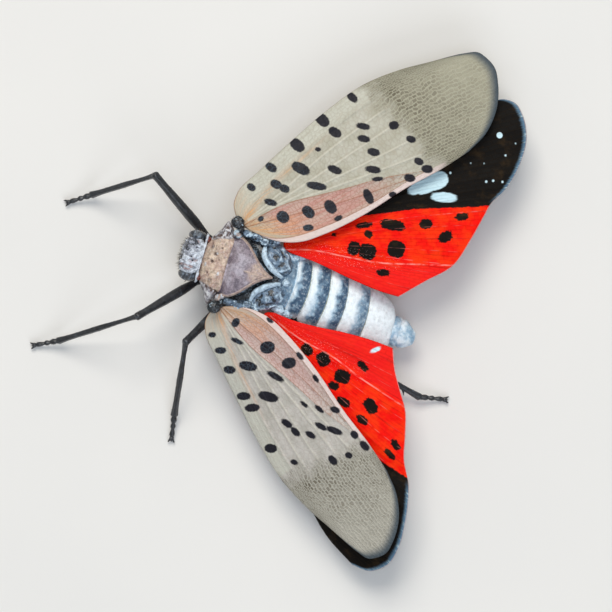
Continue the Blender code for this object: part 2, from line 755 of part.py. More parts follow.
def antenna(side, collection):
    """A short antenna under the eye: a stalk, a round bulb and a thin bristle."""
    places = (ANTENNA_ROOT, ANTENNA_BULB, ANTENNA_TIP)
    root, bulb, tip = (Vector((side.sign * p.x, p.y, p.z)) for p in places)
    stalk = [root.lerp(bulb, share) for share in STALK_SHARES]
    bristle = [bulb.lerp(tip, share) for share in BRISTLE_SHARES]
    points = [root, *stalk, bulb, *bristle, tip]
    return tube("antenna_" + side.name, points, ANTENNA_RADII, collection)


def rostrum(collection):
    """The long beak, laid back under the body between the legs."""
    return tube("rostrum", ROSTRUM_ROUTE, ROSTRUM_RADII, collection)


def tegula(side, collection):
    """The small scale over a forewing's root."""
    centre = Vector((side.sign * TEGULA_CENTRE.x, TEGULA_CENTRE.y, TEGULA_CENTRE.z))
    return ellipsoid("tegula_" + side.name, centre, TEGULA_RADII, collection, segments=14, rings=8)


def dress(obj, finish, parent):
    """Gives a part its material, shades it smooth and hangs it on the insect's empty."""
    obj.data.materials.clear()
    obj.data.materials.append(finish)
    obj.data.shade_smooth()
    obj.parent = parent


def main():
    """Builds the whole insect."""
    clear_scene()
    insect = bpy.data.collections.new("lanternfly")
    bpy.context.scene.collection.children.link(insect)
    stand = bpy.data.objects.new("lanternfly_on_floor", None)
    insect.objects.link(stand)
    stand.location = ORIGIN_MOVE

    tan = material("tan_wing", (0.62, 0.53, 0.44), 0.55)
    red = material("red_wing", (0.8, 0.05, 0.03), 0.5)
    grey = material("grey_shell", (0.48, 0.44, 0.42), 0.6)
    waxy = material("waxy_abdomen", (0.75, 0.78, 0.82), 0.7)
    black = material("black_leg", (0.04, 0.045, 0.05), 0.4)
    eye_dark = material("eye_dark", (0.05, 0.03, 0.03), 0.2)
    orange = material("orange_antenna", (0.75, 0.25, 0.04), 0.4)

    for side in BOTH:
        dress(forewing(side, insect), tan, stand)
        dress(hindwing(side, insect), red, stand)
        dress(eye(side, insect), eye_dark, stand)
        dress(antenna(side, insect), orange, stand)
        dress(tegula(side, insect), black, stand)
    dress(head(insect), grey, stand)
    dress(prothorax(insect), grey, stand)
    dress(thorax(insect), black, stand)
    dress(scutellum(insect), grey, stand)
    dress(abdomen(insect), waxy, stand)
    dress(abdomen_tip(insect), waxy, stand)
    dress(rostrum(insect), black, stand)
    for name, places in LEGS.items():
        dress(leg(name, places, insect), black, stand)


main()
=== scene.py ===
"""The looks of a life-size spotted lanternfly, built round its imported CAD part.

Places are worked out in millimetres about the front of the back plate: X towards the insect's left, Y towards
its tail and Z up from the floor. Each finished mesh is moved to the frame, in metres. Wing outlines and marks
are given with X outwards from the midline, and the right-hand ones are mirrored.
"""

import logging
import math
from collections.abc import Callable, Iterator, Sequence
from dataclasses import dataclass, field
from enum import Enum
from itertools import product

import bpy
import numpy as np
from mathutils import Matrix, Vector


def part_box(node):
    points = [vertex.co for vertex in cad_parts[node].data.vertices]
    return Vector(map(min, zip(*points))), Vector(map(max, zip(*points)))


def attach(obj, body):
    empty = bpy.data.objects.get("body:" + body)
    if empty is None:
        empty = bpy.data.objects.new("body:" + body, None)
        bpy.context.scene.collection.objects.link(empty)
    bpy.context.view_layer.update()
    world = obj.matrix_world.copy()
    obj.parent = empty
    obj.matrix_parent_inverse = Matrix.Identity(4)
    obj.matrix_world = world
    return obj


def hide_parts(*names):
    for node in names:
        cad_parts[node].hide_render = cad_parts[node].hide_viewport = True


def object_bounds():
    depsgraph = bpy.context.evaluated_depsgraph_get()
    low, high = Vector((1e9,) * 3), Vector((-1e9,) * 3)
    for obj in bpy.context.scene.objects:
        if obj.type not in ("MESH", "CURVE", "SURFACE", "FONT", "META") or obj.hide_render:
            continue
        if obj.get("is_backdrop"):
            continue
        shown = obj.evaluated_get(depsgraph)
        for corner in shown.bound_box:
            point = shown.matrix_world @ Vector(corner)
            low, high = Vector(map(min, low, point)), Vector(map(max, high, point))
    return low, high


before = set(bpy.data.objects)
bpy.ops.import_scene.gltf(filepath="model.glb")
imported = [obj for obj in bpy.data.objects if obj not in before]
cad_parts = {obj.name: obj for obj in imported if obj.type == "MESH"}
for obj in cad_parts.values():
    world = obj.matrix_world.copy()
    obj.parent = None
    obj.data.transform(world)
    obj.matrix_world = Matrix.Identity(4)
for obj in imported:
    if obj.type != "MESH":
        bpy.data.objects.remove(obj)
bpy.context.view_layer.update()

LOG = logging.getLogger("lanternfly")
Array = np.ndarray
Colour = tuple[float, float, float]
Point = Sequence[float]
Mark = tuple[float, ...]

MM = 0.001

# The camera looks straight down on the back, and marks are given as it shows them at the back's height
BACK_HEIGHT = 6.0
CAMERA_RISE = 300.0
CAMERA_PLACE = np.array((1.23, 6.02))


def tone(red: float, green: float, blue: float) -> Colour:
    """A colour as shaders read it, from the 0 to 255 values that a screen shows.

    Args:
        red: The red value.
        green: The green value.
        blue: The blue value.

    Returns:
        The three linear values.
    """
    shares = (red / 255, green / 255, blue / 255)
    return tuple(s / 12.92 if s <= 0.04045 else ((s + 0.055) / 1.055) ** 2.4 for s in shares)


def smooth(value: Array | float, low: float, high: float) -> Array:
    """A soft step, also a falling one where low is above high.

    Args:
        value: What is tested.
        low: Where the step is 0.
        high: Where the step is 1.

    Returns:
        Values from 0 to 1.
    """
    x = np.clip((np.asarray(value, float) - low) / (high - low), 0.0, 1.0)
    return x * x * (3 - 2 * x)


def hump(distance: Array, reach: float) -> Array:
    """A round hump: 1 at no distance and near 0 at about twice the reach."""
    return np.exp(-((distance / reach) ** 2))


def curve_through(points: Sequence[Point], at: Sequence[float] | None = None) -> Callable[[Array], Array]:
    """A smooth curve through the points.

    Args:
        points: The points on the curve.
        at: Where along it each point is. Left out, it is each point's share of the length.

    Returns:
        A function that gives the curve's points at any such places.
    """
    knots = np.array(points, float)
    if at is None:
        steps = np.linalg.norm(np.diff(knots, axis=0), axis=1)
        at = np.concatenate([[0.0], np.cumsum(steps)]) / steps.sum()
    at = np.asarray(at, float)
    slopes = np.gradient(knots, at, axis=0)

    def point(share: Array) -> Array:
        """The curve's points at these places along it."""
        share = np.asarray(share, float)
        i = np.clip(np.searchsorted(at, share, side="right") - 1, 0, len(at) - 2)
        width = at[i + 1] - at[i]
        x = np.clip((share - at[i]) / width, 0.0, 1.0)
        start = (1 + 2 * x) * (1 - x) ** 2
        leave = x * (1 - x) ** 2 * width
        end = x * x * (3 - 2 * x)
        arrive = x * x * (x - 1) * width
        return (
            start[..., None] * knots[i] + leave[..., None] * slopes[i]
            + end[..., None] * knots[i + 1] + arrive[..., None] * slopes[i + 1]
        )

    return point


def dense(line: Sequence[Point], count: int = 25) -> Array:
    """Points at even steps of a smooth curve through a line's points."""
    return curve_through(line)(np.linspace(0, 1, count))


def unit_vector(vector: Array) -> Array:
    """The same direction with a length of 1."""
    return vector / np.linalg.norm(vector)


def round_angles(count: int) -> Array:
    """Angles in radians evenly round a full turn, without the last one."""
    return np.linspace(0, 2 * math.pi, count, endpoint=False)


def cosine_sine(degrees: float) -> tuple[float, float]:
    """The cosine and the sine of an angle in degrees."""
    return math.cos(math.radians(degrees)), math.sin(math.radians(degrees))


def line_gap(places: Array, line: Array) -> tuple[Array, Array]:
    """How far places lie from a line of several stretches, and on which side.

    Args:
        places: Plan points, two values each.
        line: The line's points.

    Returns:
        Each place's distance, and 1 or -1 for its left or right side.
    """
    best = np.full(len(places), np.inf)
    side = np.zeros(len(places))
    for a, b in zip(line, line[1:]):
        way = b - a
        share = np.clip((places - a) @ way / (way @ way), 0.0, 1.0)
        away = places - a - share[:, None] * way
        gap = np.linalg.norm(away, axis=1)
        turn = np.sign(way[0] * away[:, 1] - way[1] * away[:, 0])
        side = np.where(gap < best, turn, side)
        best = np.minimum(gap, best)
    return best, side


def marks_depth(places: Array, marks: Sequence[Mark], squareness: float = 2.2) -> Array:
    """How deep places lie inside the nearest of several oval marks.

    Args:
        places: Plan points, two values each.
        marks: Each mark's middle, width, length and the angle in degrees that its length turns outwards.
        squareness: 2 for plain ovals, more for squarer ones.

    Returns:
        Each place's depth, negative outside all marks.
    """
    best = np.full(len(places), -np.inf)
    for out, back, width, length, turn in marks:
        c, n = cosine_sine(turn)
        dx, dy = places[:, 0] - out, places[:, 1] - back
        across = np.abs(dx * c - dy * n) / (width / 2)
        along = np.abs(dx * n + dy * c) / (length / 2)
        reach = (across**squareness + along**squareness) ** (1 / squareness)
        best = np.maximum(best, (1 - reach) * min(width, length) / 2)
    return best


class Grain:
    """Smooth noise in space that is the same on every run."""

    CELLS = 32
    LAYER_SHIFT = 7.3

    def __init__(self, seed: int) -> None:
        """Draws the values at the corners of the noise's cells."""
        self.corners = np.random.default_rng(seed).uniform(-1, 1, (self.CELLS,) * 3)

    def at(self, points: Array, cell: float) -> Array:
        """The noise at some points.

        Args:
            points: Points, three values each.
            cell: The size of a cell.

        Returns:
            Values from -1 to 1.
        """
        place = points / cell
        low = np.floor(place).astype(int)
        share = place - low
        share = share * share * (3 - 2 * share)
        total = np.zeros(points.shape[:-1])
        for corner in np.ndindex(2, 2, 2):
            weight = np.prod(np.where(np.array(corner) == 1, share, 1 - share), axis=-1)
            i, j, k = np.moveaxis((low + np.array(corner)) % self.CELLS, -1, 0)
            total += weight * self.corners[i, j, k]
        return total

    def layered(self, points: Array, cell: float, layers: int = 3) -> Array:
        """Noise of finer and finer cells, each half as strong as the one before.

        Args:
            points: Points, three values each.
            cell: The size of the largest cells.
            layers: How many sizes of cell there are.

        Returns:
            Values mostly from -1 to 1.
        """
        shifts = range(layers)
        return sum(self.at(points + self.LAYER_SHIFT * k,
                           cell / 2**k) / 2**k for k in shifts) / sum(0.5**k for k in shifts)


GRAIN = Grain(11)


@dataclass
class Shell:
    """A closed surface in millimetres, with values at its points and a flat map of its faces' corners."""

    points: Array
    quads: Array
    triangles: Array
    values: dict[str, Array] = field(default_factory=dict)
    quad_map: Array | None = None
    triangle_map: Array | None = None

    def faced_out(self) -> "Shell":
        """Turns all faces round if they point inwards."""
        halves = [self.quads[:, :3], self.quads[:, [0, 2, 3]], self.triangles]
        a, b, c = (self.points[np.concatenate(halves)[:, k]] for k in range(3))
        if np.einsum("ij,ij->", a, np.cross(b, c)) < 0:
            self.quads = self.quads[:, ::-1]
            self.triangles = self.triangles[:, ::-1]
            self.quad_map = None if self.quad_map is None else self.quad_map[:, ::-1]
            self.triangle_map = None if self.triangle_map is None else self.triangle_map[:, ::-1]
        return self

    def mirrored(self) -> "Shell":
        """The same surface on the insect's other side."""
        flip = np.array((-1.0, 1.0, 1.0))
        values = {name: v * flip if name == "lie" else v for name, v in self.values.items()}
        return Shell(
            self.points * flip, self.quads[:, ::-1], self.triangles[:, ::-1], values,
            None if self.quad_map is None else self.quad_map[:, ::-1],
            None if self.triangle_map is None else self.triangle_map[:, ::-1],
        )

    @staticmethod
    def joined(shells: Sequence["Shell"]) -> "Shell":
        """One surface of several, each with its own strip of the flat map.

        Args:
            shells: Surfaces that carry the same values.

        Returns:
            The joined surface.
        """
        starts = np.cumsum([0, *(len(s.points) for s in shells)])
        strips = np.array((1 / len(shells), 1.0))
        return Shell(
            np.concatenate([s.points for s in shells]),
            np.concatenate([s.quads + start for s, start in zip(shells, starts)]),
            np.concatenate([s.triangles + start for s, start in zip(shells, starts)]),
            {name: np.concatenate([s.values[name] for s in shells]) for name in shells[0].values},
            np.concatenate([(s.quad_map + (k, 0)) * strips for k, s in enumerate(shells)]),
            np.concatenate([(s.triangle_map + (k, 0)) * strips for k, s in enumerate(shells)]),
        )


@dataclass
class Hull:
    """A closed skin through cross-sections: rings of points, all with the same count."""

    rings: Array

    def normals(self) -> Array:
        """The direction straight out of the skin at each of its points."""
        round_it = np.roll(self.rings, -1, axis=1) - np.roll(self.rings, 1, axis=1)
        along = np.gradient(self.rings, axis=0)
        out = np.cross(round_it, along)
        out /= np.maximum(np.linalg.norm(out, axis=2, keepdims=True), 1e-9)
        from_middle = self.rings - self.rings.mean(axis=1, keepdims=True)
        return out if (out * from_middle).sum() > 0 else -out

    def pushed(self, amount: Array) -> "Hull":
        """The skin with each point moved straight out by its own amount."""
        return Hull(self.rings + self.normals() * amount[..., None])

    def capped(self, steps: int = 7, bulge: float = 0.3) -> "Hull":
        """The skin with a round cap at each end.

        Args:
            steps: How many rings each cap has.
            bulge: How far a cap stands out, as a share of its end ring's half width.

        Returns:
            The longer skin.
        """
        caps = []
        for ring, inner in ((self.rings[0], self.rings[1]), (self.rings[-1], self.rings[-2])):
            middle = ring.mean(axis=0)
            ahead = middle - inner.mean(axis=0)
            ahead /= np.linalg.norm(ahead)
            reach = bulge * np.linalg.norm(ring - middle, axis=1).mean()
            angles = np.linspace(0, math.pi / 2, steps + 2)[1:-1]
            caps.append([middle + (ring - middle) * math.cos(a) + ahead * reach
                         * math.sin(a) for a in angles])
        return Hull(np.concatenate([caps[0][::-1], self.rings, caps[1]]))

    def shell(self, **values: Array) -> Shell:
        """The skin as a closed surface.

        Args:
            **values: One value or vector for each point of the rings, by name.

        Returns:
            The surface, with a point closing each end.
        """
        rows, count, _ = self.rings.shape
        index = np.arange(rows * count).reshape(rows, count)
        ahead = np.roll(index, -1, axis=1)
        quads = np.stack([index[:-1], ahead[:-1], ahead[1:], index[1:]], axis=-1).reshape(-1, 4)
        ends = (rows * count, rows * count + 1)
        first = np.stack([np.full(count, ends[0]), ahead[0], index[0]], axis=-1)
        last = np.stack([np.full(count, ends[1]), index[-1], ahead[-1]], axis=-1)
        points = np.concatenate([self.rings.reshape(-1, 3), [self.rings[0].mean(0), self.rings[-1].mean(0)]])
        flat = {}
        for name, value in values.items():
            grid = np.broadcast_to(value, (rows, count, *np.shape(value)[2:]))
            body = grid.reshape(rows * count, *grid.shape[2:])
            flat[name] = np.concatenate([body, [grid[0].mean(0), grid[-1].mean(0)]])
        left, low = np.meshgrid(np.arange(count) / count, np.arange(rows) / rows)
        right, high = left + 1 / count, low + 1 / rows
        corners = ((left, low), (right, low), (right, high), (left, high))
        quad_map = np.stack([np.stack(c, axis=-1)[:-1] for c in corners], axis=2).reshape(-1, 4, 2)
        u, v = np.arange(count) / count, np.full(count, 1 - 1 / rows)
        half, whole = u + 0.5 / count, u + 1 / count
        first_map = np.stack([np.stack((place, 0 * u), -1) for place in (half, whole, u)], 1)
        last_map = np.stack([np.stack((place, v), -1) for place in (half, u, whole)], 1)
        made = Shell(points, quads, np.concatenate([first, last]), flat, quad_map,
                     np.concatenate([first_map, last_map]))
        return made.faced_out()


def sheet_shell(top: Array, bottom: Array, values: dict[str, Array], chart: Array) -> Shell:
    """A thin closed surface between two grids of points that share their edge.

    Args:
        top: The upper grid, rows by columns by three.
        bottom: The lower grid.
        values: Values at the grid's points, by name.
        chart: Each grid point's place on a flat map, from 0 to 1 across and 0 to 0.5 up.

    Returns:
        The surface, with the lower face's map above the upper one's.
    """
    rows, columns, _ = top.shape
    above = np.arange(rows * columns).reshape(rows, columns)
    below = above.copy()
    below[1:-1, 1:-1] = rows * columns + np.arange((rows - 2) * (columns - 2)).reshape(rows - 2, columns - 2)
    faces, maps = [], []
    for index, shift in ((above, 0.0), (below, 0.5)):
        corners = (slice(None, -1), slice(None, -1)), (slice(None, -1), slice(1, None)), \
            (slice(1, None), slice(1, None)), (slice(1, None), slice(None, -1))
        order = corners if shift == 0 else corners[::-1]
        faces.append(np.stack([index[c] for c in order], axis=-1).reshape(-1, 4))
        maps.append(np.stack([chart[c] for c in order], axis=-2).reshape(-1, 4, 2) + (0.0, shift))
    flat = {}
    for name, value in values.items():
        tail = value.shape[2:]
        flat[name] = np.concatenate([value.reshape(-1, *tail), value[1:-1, 1:-1].reshape(-1, *tail)])
    edge = np.zeros((rows, columns, 1), bool)
    edge[[0, -1]] = True
    edge[:, [0, -1]] = True
    upper = np.where(edge, (top + bottom) / 2, top)
    points = np.concatenate([upper.reshape(-1, 3), bottom[1:-1, 1:-1].reshape(-1, 3)])
    return Shell(
        points, np.concatenate(faces), np.zeros((0, 3), int), flat, np.concatenate(maps), np.zeros((0, 3, 2)),
    ).faced_out()


def origin_move() -> Array:
    """Where the frame holds the front of the back plate, read from the two scales at the wing roots."""
    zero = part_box("head")[0] * 0
    middles = [np.array(sum(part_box(f"tegula_{side}"), start=zero)) / 2 for side in ("left", "right")]
    middle = (middles[0] + middles[1]) / 2 / MM
    return np.array((middle[0], middle[1] + 0.2, 0.0))


MOVE = origin_move()


def mesh_of(name: str, shell: Shell, map_name: str | None = None) -> bpy.types.Mesh:
    """A smooth mesh of a surface, in the frame.

    Args:
        name: The mesh's name.
        shell: The surface.
        map_name: The name for its flat map, if it is kept.

    Returns:
        The mesh, with the surface's values as attributes.
    """
    mesh = bpy.data.meshes.new(name)
    points = (shell.points + MOVE) * MM
    mesh.from_pydata(points.tolist(), [], [*shell.quads.tolist(), *shell.triangles.tolist()])
    for key, value in shell.values.items():
        vector = value.ndim == 2
        attribute = mesh.attributes.new(key, "FLOAT_VECTOR" if vector else "FLOAT", "POINT")
        attribute.data.foreach_set("vector" if vector else "value", value.astype(np.float32).ravel())
    if map_name:
        corners = np.concatenate([shell.quad_map.reshape(-1, 2), shell.triangle_map.reshape(-1, 2)])
        layer = mesh.uv_layers.new(name=map_name)
        layer.data.foreach_set("uv", corners.astype(np.float32).ravel())
    mesh.shade_smooth()
    return mesh


def add_piece(name: str, mesh: bpy.types.Mesh, material: bpy.types.Material, slot: str, *nodes: str) -> None:
    """Adds a piece that rides on the insect.

    Args:
        name: The piece's name.
        mesh: Its finished mesh.
        material: Its material.
        slot: The name of a material slot, which is not used.
        *nodes: The CAD nodes that it stands for.
    """
    piece = bpy.data.objects.new(name, mesh)
    bpy.context.scene.collection.objects.link(piece)
    if not mesh.materials:
        mesh.materials.append(material)
    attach(piece, "root")
    if nodes:
        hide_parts(*nodes)
    LOG.info("%s: %d faces", name, len(mesh.polygons))


Feed = object  # a node's output, or a plain value for an input


class Bench:
    """Adds nodes to one tree in a few words each."""

    def __init__(self, tree: bpy.types.NodeTree) -> None:
        """Takes the tree that the nodes go into."""
        self.tree = tree

    def add(self, kind: str, feeds: dict[str | int, Feed], **settings: object) -> bpy.types.Node:
        """Adds a node.

        Args:
            kind: The node's type.
            feeds: What goes into its inputs, by name or place.
            **settings: The node's own settings.

        Returns:
            The node.
        """
        node = self.tree.nodes.new(kind)
        for key, value in settings.items():
            setattr(node, key, value)
        self.feed(node, feeds)
        return node

    def feed(self, node: bpy.types.Node, feeds: dict[str | int, Feed]) -> None:
        """Gives a node's inputs their values or links.

        Args:
            node: The node.
            feeds: What goes into its inputs, by name or place.
        """
        for key, value in feeds.items():
            socket = node.inputs[key]
            if isinstance(value, bpy.types.NodeSocket):
                self.tree.links.new(value, socket)
            elif isinstance(value, tuple) and socket.type == "RGBA":
                socket.default_value = (*value, 1.0)
            else:
                socket.default_value = value

    def value(self, name: str) -> bpy.types.NodeSocket:
        """The value that the mesh holds under this name."""
        return self.add("ShaderNodeAttribute", {}, attribute_name=name).outputs["Fac"]

    def vector(self, name: str) -> bpy.types.NodeSocket:
        """The vector that the mesh holds under this name."""
        return self.add("ShaderNodeAttribute", {}, attribute_name=name).outputs["Vector"]

    def place(self) -> bpy.types.NodeSocket:
        """The place on the object in millimetres."""
        here = self.add("ShaderNodeTexCoord", {}).outputs["Object"]
        return self.scaled(here, (1 / MM, 1 / MM, 1 / MM))

    def scaled(self, vector: Feed, by: Point) -> bpy.types.NodeSocket:
        """A vector with each of its values made larger or smaller."""
        return self.add("ShaderNodeVectorMath", {0: vector, 1: by}, operation="MULTIPLY").outputs[0]

    def math(self, operation: str, a: Feed, b: Feed = 0.0) -> bpy.types.NodeSocket:
        """The result of a sum of one or two values."""
        return self.add("ShaderNodeMath", {0: a, 1: b}, operation=operation).outputs[0]

    def times(self, a: Feed, b: Feed) -> bpy.types.NodeSocket:
        """The product of two values."""
        return self.math("MULTIPLY", a, b)

    def plus(self, a: Feed, b: Feed) -> bpy.types.NodeSocket:
        """The sum of two values."""
        return self.math("ADD", a, b)

    def minus(self, a: Feed, b: Feed) -> bpy.types.NodeSocket:
        """The first value less the second."""
        return self.math("SUBTRACT", a, b)

    def step(self, value: Feed, low: Feed, high: Feed) -> bpy.types.NodeSocket:
        """A soft step from 0 at low to 1 at high, also a falling one."""
        feeds = {"Value": value, "From Min": low, "From Max": high}
        return self.add("ShaderNodeMapRange", feeds, interpolation_type="SMOOTHSTEP").outputs["Result"]

    def blend(self, share: Feed, a: Feed, b: Feed, way: str = "MIX") -> bpy.types.NodeSocket:
        """Two colours mixed by a share."""
        # A mix node's first colour is its seventh input, and its mixed colour is its third output
        return self.add("ShaderNodeMix", {0: share, 6: a, 7: b}, data_type="RGBA", blend_type=way).outputs[2]

    def noise(self, vector: Feed, scale: Feed, detail: float = 3.0,
              rough: float = 0.55) -> bpy.types.NodeSocket:
        """Cloudy values round 0.5.

        Args:
            vector: The place to read.
            scale: How many clouds there are to a unit of place.
            detail: How many finer layers it has.
            rough: How strong the finer layers are.

        Returns:
            The noise's value.
        """
        feeds = {"Vector": vector, "Scale": scale, "Detail": detail, "Roughness": rough}
        return self.add("ShaderNodeTexNoise", feeds).outputs[0]

    def cells(self, vector: Feed, scale: Feed, feature: str = "F1") -> bpy.types.NodeSocket:
        """Distances in a field of irregular cells, to their middles or to their edges."""
        node = self.add("ShaderNodeTexVoronoi", {"Vector": vector, "Scale": scale}, feature=feature)
        return node.outputs["Distance"]

    def use(self, group: bpy.types.NodeTree, **feeds: Feed) -> bpy.types.Node:
        """Places a node group, with its inputs by name.

        Args:
            group: The group's tree.
            **feeds: Its inputs.

        Returns:
            The group's node.
        """
        return self.add("ShaderNodeGroup", feeds, node_tree=group)

    def ragged(self, place: Feed, depth: Feed, size: Feed, ragged: float,
               soft: float) -> bpy.types.NodeSocket:
        """A mask that starts where a depth passes 0.

        Args:
            place: The place to read.
            depth: How deep the place lies inside the mark.
            size: How many bends the mark's edge has to a unit of place.
            ragged: How far the edge wanders.
            soft: How soft the edge is.

        Returns:
            The mask, from 0 to 1.
        """
        feeds = {"Place": place, "Depth": depth, "Size": size, "Ragged": ragged, "Soft": soft}
        return self.use(EFFECTS.ragged, **feeds).outputs[0]

    def bump(self, height: Feed, depth: float, normal: Feed | None = None) -> bpy.types.NodeSocket:
        """A normal bent by a height from 0 to 1.

        Args:
            height: The height.
            depth: How many millimetres a height of 1 is.
            normal: A normal that is bent already.

        Returns:
            The bent normal.
        """
        feeds = {"Height": height, "Distance": depth * MM, "Strength": 1.0}
        if normal is not None:
            feeds["Normal"] = normal
        return self.add("ShaderNodeBump", feeds).outputs[0]


def new_group(
    name: str, inputs: dict[str, float], outputs: Sequence[str],
) -> tuple[bpy.types.NodeTree, Bench, bpy.types.NodeOutputs]:
    """A shader group that reads a place and some plain values.

    Args:
        name: The group's name.
        inputs: The usual value of each input besides the place, by name.
        outputs: The names of its outputs, which are all plain values.

    Returns:
        The group's tree, a bench for its nodes and what it is given.
    """
    tree = bpy.data.node_groups.new(name, "ShaderNodeTree")
    tree.interface.new_socket("Place", in_out="INPUT", socket_type="NodeSocketVector")
    for label, value in inputs.items():
        tree.interface.new_socket(label, in_out="INPUT", socket_type="NodeSocketFloat").default_value = value
    for label in outputs:
        tree.interface.new_socket(label, in_out="OUTPUT", socket_type="NodeSocketFloat")
    return tree, Bench(tree), tree.nodes.new("NodeGroupInput").outputs


class Effects:
    """The shader groups that more than one finish uses."""

    def __init__(self) -> None:
        """Builds each group once."""
        self.ragged = self.ragged_edge()
        self.net = self.vein_net()
        self.grain = self.shell_grain()
        self.powder = self.wax_powder()

    @staticmethod
    def ragged_edge() -> bpy.types.NodeTree:
        """A mask that starts where a depth passes 0, with a slightly ragged edge."""
        inputs = {"Depth": 0.0, "Size": 6.0,
                  "Ragged": 0.1, "Soft": 0.03}
        tree, bench, given = new_group("ragged edge", inputs, ["Mask"])
        cloud = bench.minus(bench.noise(given["Place"], given["Size"], 2.0), 0.5)
        depth = bench.plus(given["Depth"], bench.times(cloud, given["Ragged"]))
        low = bench.times(given["Soft"], -1.0)
        bench.add("NodeGroupOutput", {"Mask": bench.step(depth, low, given["Soft"])})
        return tree

    @staticmethod
    def vein_net() -> bpy.types.NodeTree:
        """A net of fine veins: long ones along the wing and short ones between them."""
        inputs = {"Length": 0.35, "Width": 0.24, "Line": 0.03, "Wander": 0.15}
        tree, bench, given = new_group("vein net", inputs, ["Line", "Cell"])
        drift = bench.add("ShaderNodeTexNoise",
                          {"Vector": given["Place"], "Scale": 1.6, "Detail": 2.0}).outputs[1]
        centred = bench.add("ShaderNodeVectorMath", {0: drift, 1: (0.5, 0.5, 0.5)},
                            operation="SUBTRACT").outputs[0]
        moved = bench.add("ShaderNodeVectorMath", {0: centred, "Scale": given["Wander"]},
                          operation="SCALE").outputs[0]
        place = bench.add("ShaderNodeVectorMath", {0: given["Place"], 1: moved}, operation="ADD").outputs[0]
        feeds = {"Vector": place, "Scale": 1.0, "Mortar Size": given["Line"], "Mortar Smooth": 0.6,
                 "Bias": 0.0, "Brick Width": given["Length"], "Row Height": given["Width"],
                 "Color1": (0.0, 0.0, 0.0), "Color2": (1.0, 1.0, 1.0), "Mortar": (0.5, 0.5, 0.5)}
        bricks = bench.add("ShaderNodeTexBrick", feeds, offset=0.5)
        cell = bench.add("ShaderNodeRGBToBW", {0: bricks.outputs["Color"]}).outputs[0]
        bench.add("NodeGroupOutput", {"Line": bricks.outputs["Fac"], "Cell": cell})
        return tree

    @staticmethod
    def shell_grain() -> bpy.types.NodeTree:
        """Fine pits and wrinkles of hard shell, as a height and as a lightness round 0.5."""
        inputs = {"Size": 8.0, "Pits": 0.4}
        tree, bench, given = new_group("shell grain", inputs, ["Height", "Light"])
        wrinkle = bench.noise(given["Place"], given["Size"], 4.0, 0.65)
        pit = bench.step(bench.cells(given["Place"], bench.times(given["Size"], 0.8)), 0.0, 0.45)
        height = bench.plus(wrinkle, bench.times(pit, given["Pits"]))
        light = bench.noise(given["Place"], bench.times(given["Size"], 0.45), 3.0)
        bench.add("NodeGroupOutput", {"Height": height, "Light": light})
        return tree

    @staticmethod
    def wax_powder() -> bpy.types.NodeTree:
        """Powdery wax: cloudy patches broken into tiny flakes."""
        inputs = {"Amount": 0.3, "Size": 2.0}
        tree, bench, given = new_group("wax powder", inputs, ["Mask"])
        cloud = bench.noise(given["Place"], given["Size"], 3.0, 0.6)
        flake = bench.noise(given["Place"], bench.times(given["Size"], 9.0), 2.0, 0.7)
        both = bench.plus(bench.times(cloud, 0.65), bench.times(flake, 0.35))
        low = bench.minus(0.78, bench.times(given["Amount"], 0.5))
        high = bench.plus(low, 0.14)
        bench.add("NodeGroupOutput", {"Mask": bench.step(both, low, high)})
        return tree


EFFECTS = Effects()


def new_material(name: str) -> tuple[bpy.types.Material, Bench, bpy.types.Node]:
    """A material with a bench for its nodes.

    Args:
        name: The material's name.

    Returns:
        The material, its bench and its Principled shader.
    """
    material = bpy.data.materials.new(name)
    material.use_nodes = True
    tree = material.node_tree
    return material, Bench(tree), tree.nodes["Principled BSDF"]


